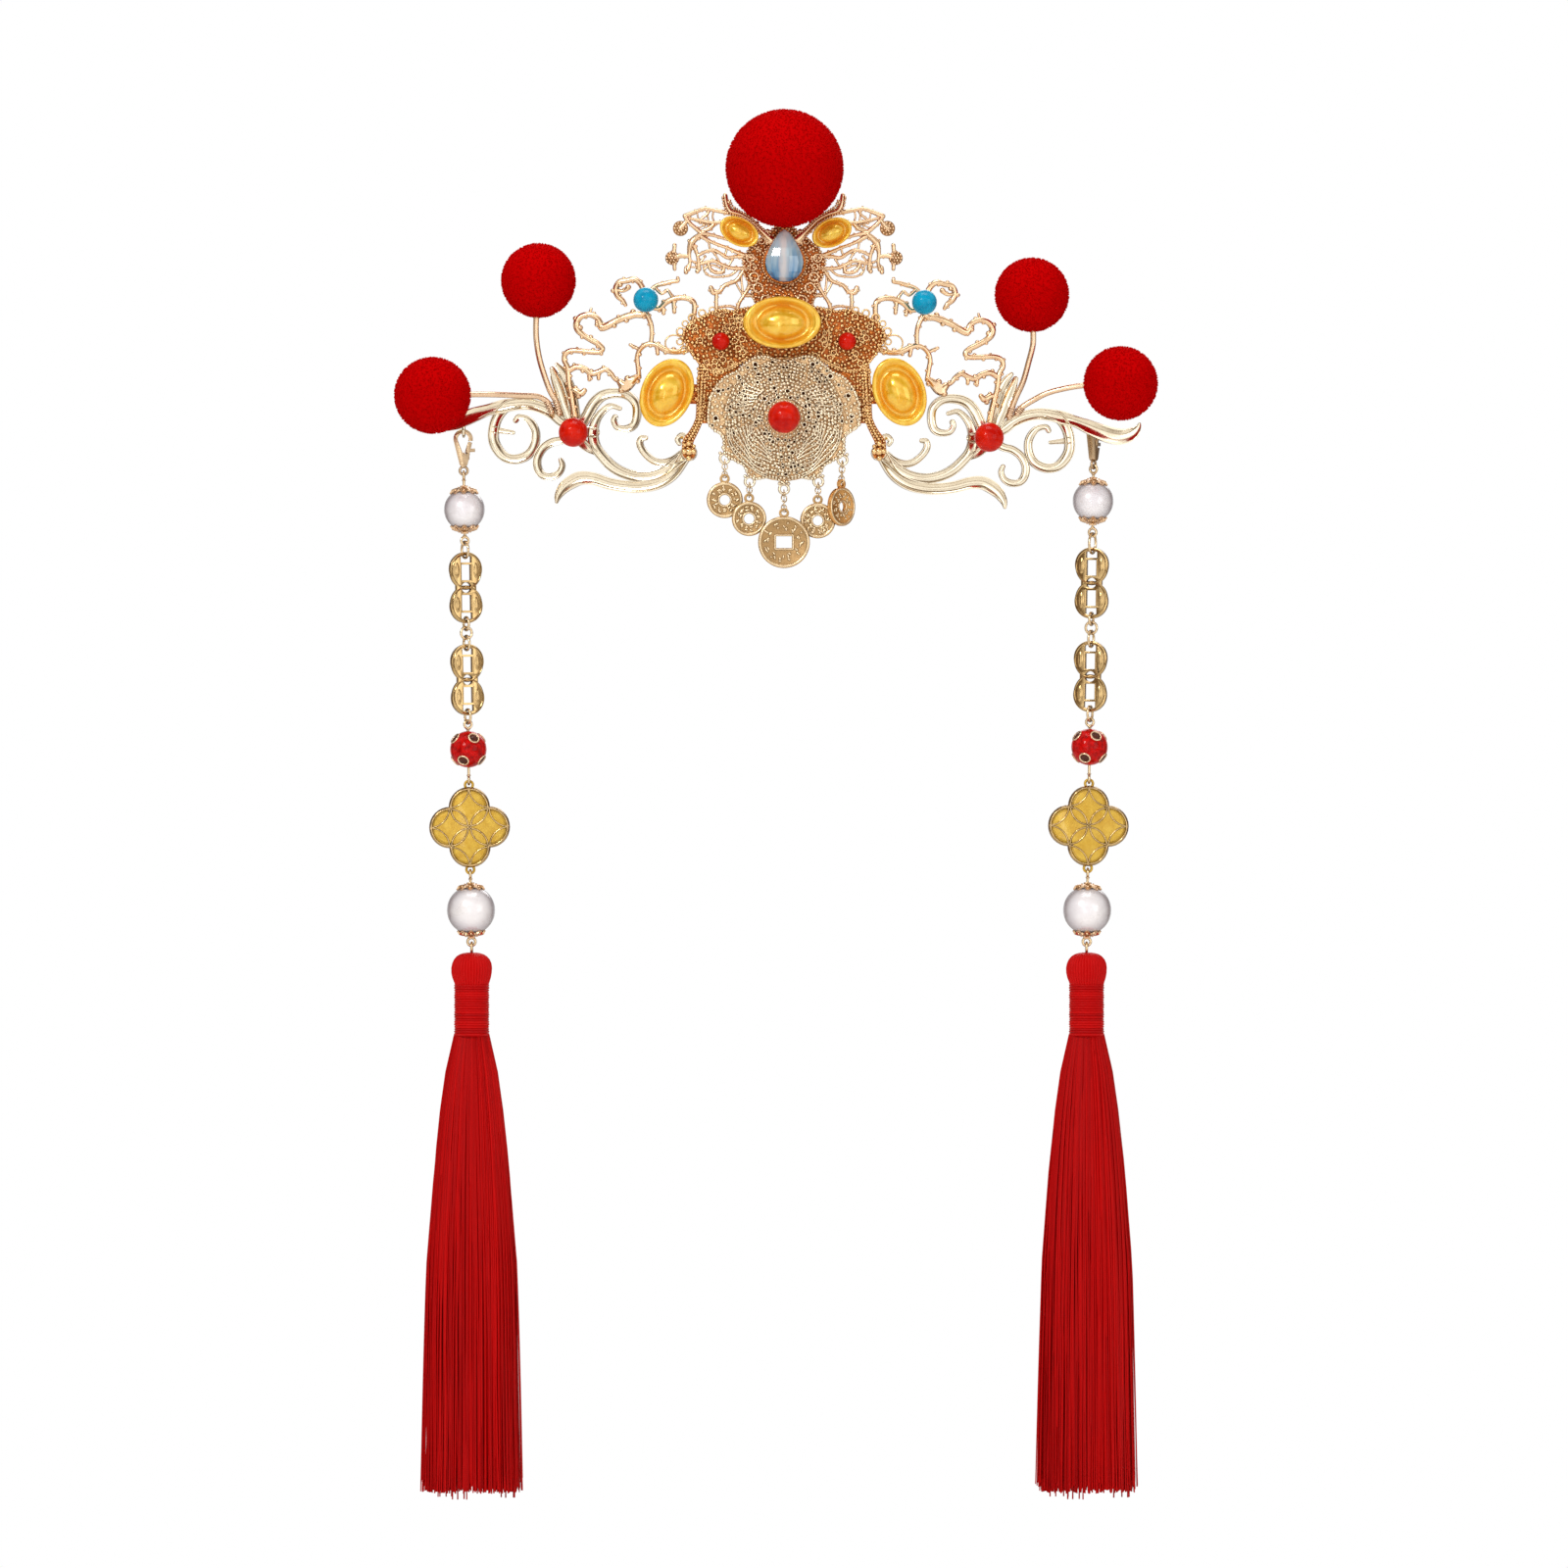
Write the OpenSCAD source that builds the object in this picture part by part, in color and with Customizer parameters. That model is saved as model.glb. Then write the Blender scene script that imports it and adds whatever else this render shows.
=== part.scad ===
// Hair crown with five pompoms, ingots, coins, scroll wings and two long side strings.
// Millimetres. +Z is up and the crown faces -Y. The origin is the middle of the back of
// the base plate, where the crown sits against the hair.
// Every place on the crown is written as [x, z] as seen from the front.

/* [Frame] */
// Thickness of the flat plates
plate_t = 1.2; // [1:0.1:1.6]
// Thickness of the cast scroll wings
scroll_t = 2; // [1.6:0.1:2.4]
// How far each wing turns back towards the ear, in degrees
wing_sweep = 12; // [9:1:14]
// How much higher the left wing is bent than the right one, in degrees
wing_tilt = 3; // [2:0.5:3.5]
// Length of the left wing compared with the right one
left_reach = 1.03; // [1:0.01:1.04]
// Gap between pieces that lie on each other
seat_gap = 0.2; // [0.1:0.05:0.3]

/* [Pompoms] */
// Diameter of the top pompom
top_pompom_d = 30.2; // [28:0.2:30.4]
// Diameter of the stem wires
stem_d = 1.5; // [1.2:0.1:1.7]

/* [Medallion] */
// Radius of the domed part
dome_r = 15.5; // [13:0.5:16]
// Height of the dome above its rim
dome_h = 4.2; // [3:0.2:5]
// Wall of the dome
dome_wall = 0.9; // [0.7:0.1:1.2]

/* [Beads] */
// Diameter of the big coral beads
coral_d = 7.5; // [7:0.1:7.6]
// Diameter of the small coral beads
small_coral_d = 4.5; // [4:0.1:5]
// Diameter of the medallion's bead
medallion_bead_d = 8.2; // [7.6:0.1:8.4]
// Diameter of the turquoise beads
turquoise_d = 6.4; // [6:0.1:6.6]
// Diameter of the upper pearls
upper_pearl_d = 10.5; // [10:0.1:10.6]
// Diameter of the lower pearls
lower_pearl_d = 12.4; // [12:0.1:12.5]
// Diameter of the cloisonne beads
cloisonne_d = 9.5; // [9.2:0.1:9.6]

/* [Strings] */
// Wire of the eyes and jump rings
wire_d = 0.7; // [0.6:0.05:0.75]
// Length of each lobster clasp
clasp_l = 12; // [11.8:0.1:12.2]
// Thickness of each lobster clasp
clasp_t = 1.6; // [1.5:0.05:1.6]
// Height of a link made of two joined coins
link_h = 18.3; // [18:0.1:18.5]
// Length of the tassel skirts
skirt_l = 117; // [100:1:120]

/* [Comb] */
// Width of the hair comb
comb_w = 29; // [25:1:30]
// Number of teeth
comb_teeth = 8; // [6:1:9]
// Length of the teeth
tooth_l = 20; // [16:1:21]
// Distance from the plate to the teeth, which the hair fills
hair_gap = 6.2; // [6:0.1:8]

/* [Hidden] */

$fn = 48;
LEFT = 0;
RIGHT = 1;
sign = [-1, 1];                    // direction of each side along X
eps = 0.02;
join = 0.4;                        // how deep a soldered piece runs into its neighbour

// Layers from front to back, along Y
plate_back = 0;
plate_front = -plate_t;
crest_front = seat_gap;
branch_front = 0.5;
branch_back = branch_front + plate_t;
scroll_front = branch_back + seat_gap;
scroll_back = scroll_front + scroll_t;
medallion_back = plate_front - seat_gap;
medallion_t = 1;
medallion_front = medallion_back - medallion_t;
bead_gap = 0.2;                    // between a bead and the plate behind it
peg_d = 0.9;                       // peg that a bead is glued on
peg_hole_d = 1.2;

// Colours
champagne = "#d9bc8a";
rose_gold = "#c98f5f";
yellow_gold = "#d3a23a";
antique_brass = "#a98245";
ingot_gold = "#f5b81c";
coral_red = "#c81408";
velvet_red = "#bc0404";
silk_red = "#c00808";
turquoise_blue = "#0fa0c0";
pearl_grey = "#d9d2cc";
crystal_blue = "#a8cfe6";
enamel_yellow = "#dca92a";
comb_silver = "#bfbfbf";

// Curves and ribbons

curve_steps = 2;                   // smooth points between two rows of a stroke

function blend_rows(a, b, c, d, t) =
    0.5 * (2 * b + (c - a) * t + (2 * a - 5 * b + 4 * c - d) * t * t
    + (3 * b - a - 3 * c + d) * t * t * t);

function smooth(rows, steps) =
    let (last = len(rows) - 1)
    concat([for (i = [0 : last - 1], k = [0 : steps - 1])
        blend_rows(rows[max(i - 1, 0)], rows[i], rows[i + 1], rows[min(i + 2, last)],
            k / steps)], [rows[last]]);

function reversed(list) = [for (i = [len(list) - 1 : -1 : 0]) list[i]];

function heading(p, i) =
    let (a = p[max(i - 1, 0)], b = p[min(i + 1, len(p) - 1)], d = [b.x - a.x, b.y - a.y])
    d / norm(d);

function edge(p, side) =
    [for (i = [0 : len(p) - 1]) let (h = heading(p, i))
        [p[i].x - side * h.y * p[i][2] / 2, p[i].y + side * h.x * p[i][2] / 2]];

// A stroke with round ends. Each row is [x, z, width].
module ribbon(rows) {
    p = smooth(rows, curve_steps);
    polygon(concat(edge(p, 1), reversed(edge(p, -1))));
    for (e = [rows[0], rows[len(rows) - 1]])
        translate([e.x, e.y]) circle(d = e[2], $fn = 16);
}

// A dot. Each row is [x, z, diameter].
module dot(row) translate([row.x, row.y]) circle(d = row[2], $fn = 20);

// Several flat shapes melted into one outline
module cast_together() offset(delta = 0.01) children();

// Flat sheet between two depths
module sheet(front, back) {
    translate([0, back, 0]) rotate([90, 0, 0]) linear_extrude(back - front) children();
}

// Turned solid with its axis towards the front
module facing() rotate([90, 0, 0]) children();

module ring(r, d) rotate_extrude($fn = 32) translate([r, 0]) circle(d = d, $fn = 16);

// Places on the wings

hinge_x = 24;                      // the wings turn back from here
root = [24, -15.5];                // where a scroll wing grows out of the base plate
branch_root = [24, 12];

function flat_x(x) = hinge_x + (x - hinge_x) / cos(wing_sweep);
function flat(rows) = [for (r = rows) [flat_x(r.x), r.y, r[2]]];
// Depth of a wing's layer at a distance x from the middle
function wing_y(x, layer) = (x - hinge_x) * tan(wing_sweep) + layer / cos(wing_sweep);

// Children are drawn flat and seen from the front, then turned back with the wing
module on_wing(side) {
    mirror([side == LEFT ? 1 : 0, 0, 0]) translate([hinge_x, 0, 0])
        rotate([0, 0, wing_sweep]) translate([-hinge_x, 0, 0]) children();
}

module bent_up(pivot, angle, reach) {
    translate(pivot) rotate(angle) scale(reach) translate(-pivot) children();
}

// A glued bead: it has a blind hole at its back, past its middle
module glued_bead(d) {
    difference() {
        sphere(d = d);
        translate([0, -0.4, 0]) rotate([-90, 0, 0])
            cylinder(d = peg_hole_d, h = d, $fn = 24);
    }
}
// Peg from a plate's front to the middle of its bead
module peg(place, front, length) {
    translate([place.x, front + join, place.y]) facing()
        cylinder(d = peg_d, h = length + join, $fn = 24);
}

// Scroll wings, as the right one is seen from the front: [x, z, width]

wing_seat = [53, -11, 5.4];        // under the coral bead
scroll_strokes = [
    // hook beside the root
    [[24.5, -15.5, 2.4], [28, -17.5, 1.6], [30.5, -18.25, 1.5], [33, -17.75, 1.4],
     [35.25, -16, 1.3], [36.5, -14, 1.3], [36.25, -12.5, 1.2], [35.25, -12.25, 1]],
    // curl over the root
    [[24.25, -15, 2], [24.5, -12.75, 1.4], [26, -11.25, 1.2], [27.25, -12.25, 1],
     [26.75, -13.25, 0.9]],
    // long tail
    [[25, -16, 2.2], [27.25, -20, 2.1], [29.5, -22.25, 2.1], [32.5, -23.75, 2.2],
     [36.25, -24.5, 2.2], [40, -24.5, 2.2], [43.75, -24, 2.2], [47.5, -23, 2.3],
     [50.75, -23, 2.5], [53.25, -24.25, 2.4], [55, -25.75, 2], [56.2, -27.75, 1.3],
     [56.5, -29.25, 0.6]],
    // stroke that swings up beside the bead
    [[25, -16, 2], [27, -17.75, 2], [29.5, -20, 2], [32.5, -21.5, 2], [36.25, -22, 2],
     [40, -21.25, 2], [43, -19.75, 2], [45.5, -17.5, 1.9], [47.5, -15, 1.9],
     [48.25, -12, 1.9], [47.75, -8.75, 1.6], [46.25, -6.25, 1.3], [44.25, -4.75, 1.1],
     [42, -5.25, 0.9]],
    // inner coil
    [[52.5, -11.5, 2], [50.25, -8, 2], [48.5, -4.5, 2], [46.25, -2.25, 1.9],
     [43, -1.5, 1.8], [40, -2, 1.7], [38, -4, 1.6], [37.6, -6.75, 1.6],
     [38.25, -9.25, 1.5], [40, -10.25, 1.4], [42.25, -10, 1.2], [43.25, -8.5, 1.1],
     [43, -7.5, 1.1]],
    // top stroke and its leaf end
    [[52.5, -11, 2], [56, -9.25, 2], [58.25, -7.5, 2.1], [61.25, -6, 2.2],
     [65, -5.25, 2.2], [68.75, -5.6, 2.3], [71.25, -6.2, 2.5], [74.5, -7.1, 2.8],
     [77.5, -8.25, 3.4], [80.5, -9.5, 3.9], [83.75, -10.6, 4.2], [86.75, -10.9, 4],
     [89.3, -10, 3], [90.8, -8.6, 1.5], [91.2, -7.6, 0.7]],
    // big coil
    [[67.5, -5.2, 1.8], [70, -6, 1.9], [72, -8.25, 1.9], [73, -11.25, 1.9],
     [73, -14.5, 1.9], [71.75, -17, 1.9], [69.75, -18.75, 1.8], [67, -19.1, 1.8],
     [64.25, -17.9, 1.7], [62.75, -15.5, 1.6], [62.5, -12.5, 1.5], [63.5, -10.25, 1.4],
     [65, -8.9, 1.2], [67, -8.6, 1.1], [67.75, -9.5, 1]],
    [[72.75, -12, 1.4], [70.5, -12.25, 1], [68.25, -12.5, 0.8]],
    // small coil
    [[53, -12, 1.8], [56, -13.8, 1.5], [58.25, -14.4, 1.5], [60.5, -16, 1.5],
     [61.75, -18.5, 1.5], [61.6, -21, 1.5], [60.25, -22.75, 1.4], [58, -23, 1.4],
     [56.25, -22, 1.2], [55.5, -20.2, 1.1], [56, -18.75, 0.9]],
    // small leaf under the bead, and the bar behind the bead
    [[47.5, -16.5, 1], [49.5, -15.25, 1.7], [52, -13, 2]],
    [[52.5, -11.5, 2], [48, -11.5, 2]],
    // two leaf blades above the bead
    [[52.5, -10.5, 1.8], [53.5, -5, 1.9], [54.75, -0.5, 1.9], [56.5, 3, 1.5],
     [58.2, 4.9, 0.8]],
    [[53.5, -10, 2], [55.5, -5.5, 2], [57, -1.5, 2.1], [58.25, 1.5, 1.8],
     [59.25, 3.75, 1]]
];

module scroll_outline() {
    cast_together() {
        for (s = scroll_strokes) ribbon(flat(s));
        dot([flat_x(wing_seat.x), wing_seat.y, wing_seat[2]]);
        dot([root.x + 0.25, root.y, 4]);
    }
}

// Rings at the back of the wings, which the lobster clasps hook through
hanger_r = 2.2;
hanger_d = 0.8;
hanger = [[82.2, -8.6], [78.3, -9]];             // [x, z] of each ring's middle
hanger_back = hanger_r - join;                   // its middle behind the scroll's back
function hanger_y(side) = wing_y(hanger[side].x, scroll_back) + hanger_back;

module hanger_ring(side) {
    translate([sign[side] * hanger[side].x, hanger_y(side), hanger[side].y])
        rotate([0, side == LEFT ? 90 : 0, 0]) ring(hanger_r, hanger_d);
}

tilt = [wing_tilt, 0];
reach = [left_reach, 1];
coral_place = [[53.8, -10.2], [52.4, -11.5]];
coral_y = branch_front - seat_gap - bead_gap - coral_d / 2;

module scroll(side) {
    color(champagne) union() {
        on_wing(side) {
            sheet(scroll_front, scroll_back)
                bent_up(root, tilt[side], reach[side]) scroll_outline();
            peg([flat_x(coral_place[side].x), coral_place[side].y], scroll_front,
                scroll_front - coral_y);
        }
        hanger_ring(side);
    }
}

module coral(side) {
    color(coral_red) on_wing(side)
        translate([flat_x(coral_place[side].x), coral_y, coral_place[side].y])
            glued_bead(coral_d);
}

// Vine branches, as the left one is seen from the front with x to the outside

turquoise_place = [35.25, 23.5];
branch_strokes = [
    // curl above the turquoise bead
    [[35.3, 23.5, 2], [36.25, 27, 1.5], [38, 28.9, 1.5], [40, 28.6, 1.5],
     [42, 28.25, 1.6], [43, 26.5, 1.6], [42.5, 24.75, 1.5], [41.25, 23.6, 1.3],
     [40.5, 22.4, 1]],
    [[42.6, 26.2, 1], [41, 26, 0.9], [39.75, 26.9, 1.5]],
    // knobby stretch
    [[35.3, 22, 1.8], [36, 20, 1.8], [38, 19.9, 1.8], [40, 19.4, 2], [42.5, 18.5, 1.8],
     [44.5, 17.4, 2], [46.6, 16.6, 1.8], [47.2, 18.2, 1.5]],
    // long S curve
    [[46.6, 16.9, 1.4], [47.25, 18.5, 1.5], [48.5, 19.6, 1.5], [50, 20, 1.5],
     [51.9, 19.5, 1.6], [53, 18, 1.8], [52.75, 16.25, 1.8], [51.25, 14.75, 1.5],
     [49.25, 13.5, 1.5], [47.5, 12.5, 1.5], [46.4, 11.3, 1.4], [47.2, 10.4, 1.4],
     [50, 10.5, 1.4], [52.5, 10.8, 1.4], [54.5, 10.8, 1.4], [55.9, 10, 1.4],
     [56.2, 8.4, 1.4], [55.5, 7, 1.4], [55.2, 5.4, 1.5], [55, 2.5, 1.4],
     [54.5, 0, 1.4], [54, -3, 1.5], [53.5, -6, 1.6]],
    [[49.8, 19.8, 1], [49.25, 21.5, 0.7]],
    // lower twig and its drops
    [[55.2, 5.6, 1.6], [53, 6.7, 1.6], [50.75, 6, 1.6], [49.25, 4.9, 1.6],
     [47.5, 5.3, 1.5], [45.75, 6, 1.4], [44.25, 5, 1.3], [43.25, 3.6, 1.2],
     [41.5, 2.5, 1.2]],
    [[49.75, 5, 1.3], [49.75, 3.4, 1.1]],
    [[47.5, 5.2, 1.2], [47.4, 3.6, 1]],
    // knobs on the stem
    [[55, 0.6, 1], [53.5, 0.8, 1.6], [52, -0.2, 1.8], [51, 0.6, 1.4]],
    // leaf knot over the coil
    [[37, 4.4, 1.2], [38.75, 3, 2.6], [40.5, 1.6, 3], [41.75, 2.6, 2]],
    // vertical twig
    [[35.2, 20.4, 1.4], [34, 17.5, 1.3], [33.75, 15, 1.2], [34, 12.6, 1.2]],
    // arc under it
    [[24, 11, 1.6], [27, 10.3, 1.5], [30, 10.7, 1.6], [32.75, 12.2, 1.5],
     [35, 12.3, 1.3], [36.75, 11, 1.3], [37.5, 9, 1.3], [37.3, 6.75, 1.3],
     [37, 3.9, 1.3]],
    [[36.9, 11, 1], [39.25, 12.2, 0.9]],
    [[32.5, 12, 1.2], [32.25, 9.9, 1.1]],
    // arc beside the turquoise bead
    [[35.3, 22.8, 1.8], [32, 21.4, 1.4], [30, 23, 1.5], [27.5, 24, 1.5], [25, 24, 1.4],
     [23, 22.9, 1.4], [22.9, 20, 1.4], [23.5, 17, 1.4]],
    [[31, 22.3, 1.2], [30.75, 20.2, 1.1]],
    [[28.2, 23.7, 1.2], [28, 20.5, 1.1]],
    // twig above the turquoise bead
    [[35, 24.5, 1.6], [33, 27, 1.1], [30.5, 27.75, 1.2], [28.5, 28.25, 1.1],
     [27.1, 28.4, 1], [27.1, 29.2, 0.9]],
    [[33, 26.9, 0.9], [31.25, 25.2, 0.8], [29.75, 26.1, 0.8], [28.5, 24.3, 0.9]]
];
branch_lean = [0, -wing_tilt];

module branch_outline() {
    cast_together() {
        for (s = branch_strokes) ribbon(flat(s));
        dot([flat_x(turquoise_place.x), turquoise_place.y, 4]);
    }
}

function bent_place(place, pivot, angle) =
    let (dx = place.x - pivot.x, dz = place.y - pivot.y)
    [pivot.x + dx * cos(angle) - dz * sin(angle), pivot.y + dx * sin(angle) + dz * cos(angle)];

function turquoise_spot(side) =
    bent_place([flat_x(turquoise_place.x), turquoise_place.y], branch_root, branch_lean[side]);

module branch(side) {
    color(rose_gold) on_wing(side) {
        sheet(branch_front, branch_back)
            bent_up(branch_root, branch_lean[side], 1) branch_outline();
        peg(turquoise_spot(side), branch_front, bead_gap + turquoise_d / 2);
    }
}

module turquoise(side) {
    spot = turquoise_spot(side);
    color(turquoise_blue) on_wing(side)
        translate([spot.x, branch_front - bead_gap - turquoise_d / 2, spot.y])
            glued_bead(turquoise_d);
}

// Crest: open filigree behind the crystal, with the collar of the top pompom

crest_core = [[0, 43.2], [-1.5, 42.9], [-4, 40.6], [-6.5, 38.6], [-9, 36.5], [-10.6, 33.5],
    [-10.2, 30], [-8.6, 27], [-7.4, 23], [-7, 15], [0, 14.5]];
crest_strokes = [
    // collar along the pompom
    [[3, 38.5, 3], [6.25, 41.6, 1.9], [8.75, 44, 1.8], [11.4, 45.4, 1.8],
     [13.75, 46.2, 1.8], [14.7, 48.2, 1.6], [15, 50.2, 1.2]],
    // open leaf with its tip
    [[14, 45.8, 1.4], [17.25, 46.3, 1], [20, 46.8, 1], [22.5, 46, 1.1], [25.2, 44.9, 1.4]],
    [[25.2, 44.9, 1.4], [24.25, 43.4, 1.1], [22.75, 42, 1.1], [21.25, 40.75, 1.3]],
    [[24.5, 44.4, 0.8], [21.5, 43.8, 0.8], [18, 43.2, 0.9], [14.2, 43.6, 1.1]],
    [[21.3, 44, 0.7], [19.5, 45.5, 0.7], [19.2, 46.6, 0.7]],
    [[21, 41.2, 0.8], [19.2, 41.7, 1.3], [17.8, 42.9, 1.2]],
    // granulated disc at the tip
    [[24.9, 43.6, 1.2], [26.4, 41.75, 4]],
    // double long wires
    [[21.25, 40.6, 1.4], [18, 40, 0.9], [14.5, 39, 0.9], [10, 38.2, 1.2], [6, 36, 1.4]],
    [[21.25, 39.8, 1.2], [18, 38.1, 0.9], [14.5, 36.8, 0.9], [10.75, 35.2, 1.2], [7, 34, 1.4]],
    // knot and stems with drops
    [[21.4, 40.2, 1.3], [23.5, 38.25, 1.8], [24.2, 35.5, 1.1], [24, 33, 0.9],
     [24.5, 31.3, 1.3]],
    [[23, 37.4, 1.2], [22, 34.5, 0.9], [21.75, 31.4, 1.4]],
    // arch, ring and their ties
    [[21.9, 34.9, 0.9], [19.8, 35.9, 0.9], [17.8, 36.2, 0.9], [16.2, 35.4, 0.9],
     [14.4, 34.3, 1], [12, 34.6, 1], [9, 34.5, 1.4]],
    [[21.8, 32.6, 0.8], [19.5, 33.2, 1], [17.5, 33.4, 1], [15.6, 32.4, 1], [13, 31.6, 1],
     [9, 31.5, 1.3]],
    [[19.4, 33.2, 1], [18.9, 31.6, 1], [17.4, 30.5, 1], [15.6, 30.7, 1], [15.4, 32.4, 1]],
    // mushroom knob
    [[24.2, 34.6, 1], [26.2, 34.7, 1.1], [28.5, 34.2, 3.6]],
    [[28.1, 35, 1], [27.9, 37.5, 1.1]],
    [[28.2, 34, 1.2], [28, 32.6, 1], [27.9, 31.4, 1]],
    // twig with its dots
    [[9, 32, 1.2], [10.6, 30.6, 1.1], [12.2, 28.4, 1.1], [15, 27.3, 1.1], [16.4, 25.7, 1.2],
     [18, 25.4, 1.4], [18.6, 26.6, 1.3]],
    [[17.2, 25.6, 1.1], [17.3, 23, 1], [17.2, 19, 1.4]],
    // loops over the centre ingot
    [[8.5, 27.5, 1.2], [10, 25, 1], [11.6, 22.4, 1], [12, 19.5, 1.4]],
    [[6.5, 24, 1], [8.5, 24.6, 0.9], [10.2, 24.6, 0.9]]
];

module mirrored_pair() {
    children();
    mirror([1, 0]) children();
}

top_pompom = [0.15, -7, 56.75];
pompom_peg_start = [0, 0.8, 42.8];

module crest_outline() {
    cast_together() {
        mirrored_pair() polygon(crest_core);
        mirrored_pair() for (s = crest_strokes) ribbon(s);
    }
}

// Rod of the diameter given from one point towards another
module rod(from, to, d, length) {
    v = to - from;
    translate(from) rotate([0, acos(v.z / norm(v)), atan2(v.y, v.x)])
        cylinder(d = d, h = length, $fn = 24);
}

module crest_plate() {
    color(rose_gold) union() {
        sheet(crest_front, crest_front + plate_t) crest_outline();
        rod(pompom_peg_start, top_pompom, stem_d, 8);
    }
}

// Base plate: two granulated clusters, a bridge, arms and the backing of the medallion

base_cluster = [[0, 21.5], [-9, 21.5], [-13.75, 20.5], [-16.25, 21], [-19.5, 20],
    [-22, 18.7], [-24.25, 17.5], [-25.75, 15.5], [-26.2, 13.75], [-25, 12], [-24, 10],
    [-22, 7.5], [-21, 6], [-17.5, 5], [-13.8, 5.6], [-11.25, 7], [-8.75, 8.5], [0, 7.5]];
arm_rows = [[20.5, 6.5, 2.6], [21, 2, 2.4], [21.3, -2.5, 2.2], [21.6, -7, 2],
    [23.2, -10.5, 2.2], [24.6, -13, 2.8], [24.25, -15.5, 3.4]];
ingot_seat_rows = [[20.5, -0.6, 5], [26, -0.5, 5], [31, -0.3, 5]];
backing = [0, -8, 29];             // disc behind the medallion: x, z, diameter
small_coral_place = [16.1, 12.8];

module base_outline() {
    cast_together() mirrored_pair() {
        polygon(base_cluster);
        ribbon(arm_rows);
        ribbon(ingot_seat_rows);
        dot(backing);
        translate([0, -8]) square([21, 14.5]);
    }
}

module base_plate() {
    color(rose_gold) union() {
        sheet(plate_front, plate_back) base_outline();
        for (side = [LEFT, RIGHT]) {
            // knot at the end of the arm, which the wing is soldered to
            translate([sign[side] * 24.25, scroll_front - 0.45, root.y]) facing()
                cylinder(d = 3, h = scroll_front + plate_t / 2, $fn = 24);
            peg([sign[side] * small_coral_place.x, small_coral_place.y], plate_front,
                bead_gap + small_coral_d / 2);
        }
    }
}

module coral_small(side) {
    color(coral_red)
        translate([sign[side] * small_coral_place.x,
            plate_front - bead_gap - small_coral_d / 2, small_coral_place.y])
            glued_bead(small_coral_d);
}

// Medallion: scalloped rim, hollow dome and the eyes of the coin chains

medallion_half = [[0, 7.4], [-2.5, 8.25], [-5, 9], [-7.5, 8.75], [-10, 7], [-12.5, 5],
    [-15, 4], [-17, 2], [-18.5, -0.5], [-19.3, -3], [-19.6, -6.25], [-19.25, -8.5],
    [-17.6, -9.9], [-15.8, -11.25], [-15.5, -13.75], [-15.2, -16], [-12.8, -17.4],
    [-10.3, -18.8], [-9.4, -20.8], [-7.5, -22.2], [-3.75, -21.7], [-1.25, -22.5],
    [0, -23.6]];
medallion_middle = [0, -7];
// Eyes under the rim: [x, z]
coin_eyes = [[-15.1, -17], [-8.75, -22.9], [0, -24.8], [8.75, -22.9], [14.9, -17.4]];
eye_r = 1.2;

module medallion_outline() {
    cast_together() {
        mirrored_pair() polygon(smooth(medallion_half, 3));
        for (e = coin_eyes) dot([e.x, e.y, 3.1]);
    }
}

module dome_cap(r, h) {
    ball = (r * r + h * h) / (2 * h);
    translate([medallion_middle.x, medallion_front + eps, medallion_middle.y]) facing()
        intersection() {
            translate([0, 0, h - ball]) sphere(r = ball, $fn = 96);
            cylinder(r = r + 1, h = h + 1, $fn = 64);
        }
}

module medallion() {
    color(champagne) difference() {
        union() {
            sheet(medallion_front, medallion_back) medallion_outline();
            dome_cap(dome_r, dome_h);
            peg([medallion_middle.x, medallion_middle.y + 0.25],
                medallion_front - dome_h + join / 2,
                bead_gap + (join + medallion_bead_d) / 2);
        }
        translate([0, dome_wall, 0]) dome_cap(dome_r - dome_wall, dome_h);
        for (e = coin_eyes)
            translate([e.x, medallion_back + 1, e.y]) facing()
                cylinder(r = 0.85, h = medallion_t + 2, $fn = 24);
    }
}

module medallion_bead() {
    color(coral_red)
        translate([0, medallion_front - dome_h - bead_gap - medallion_bead_d / 2,
            medallion_middle.y + 0.25])
            glued_bead(medallion_bead_d);
}

// Ingots: a boat with a raised rim and a dome. The outline is [radius, height], with a
// radius of 1 at the rim.

ingot_outline = [[0, 0], [0.45, 0], [0.8, 0.34], [1, 0.82], [0.98, 0.93], [0.9, 0.96],
    [0.78, 0.82], [0.68, 0.7], [0.6, 0.76], [0.48, 0.96], [0.28, 1.11], [0, 1.16]];
// [x, z, width, height, depth, turn in degrees, depth of its back along Y]
ingot_rows = [
    [-0.5, 17.5, 19.8, 13.3, 6, 0, plate_front - seat_gap],
    [-29.85, -0.4, 13.6, 17.6, 5.6, -18, plate_front - seat_gap],
    [29.4, -0.2, 13.6, 17.6, 5.6, 18, plate_front - seat_gap],
    [-11.4, 40.8, 10.6, 7.2, 3.8, -28, crest_front - seat_gap],
    [12.2, 40.5, 10.6, 7.2, 3.8, 24, crest_front - seat_gap]
];

module ingot(row) {
    color(ingot_gold) translate([row[0], row[6], row[1]]) rotate([0, -row[5], 0]) facing()
        scale([row[2] / 2, row[3] / 2, row[4]]) rotate_extrude($fn = 48)
            polygon(ingot_outline);
}

// Crystal in its bezel

crystal_place = [0.1, 32.9];       // middle of the round end
crystal_r = 4.6;
crystal_tip = 8.1;                 // from that middle to the tip
crystal_girdle = -2.2;             // depth of its widest line
crystal_flat = 1.2;                // from the girdle to its flat back
crystal_depth = 0.62;              // depth compared with width

touch_angle = acos(crystal_r / crystal_tip);   // where the flanks leave the round end
module pear() {
    circle(r = crystal_r);
    polygon([crystal_r * [sin(touch_angle), cos(touch_angle)], [0, crystal_tip],
        crystal_r * [-sin(touch_angle), cos(touch_angle)], [0, -1]]);
}

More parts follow.
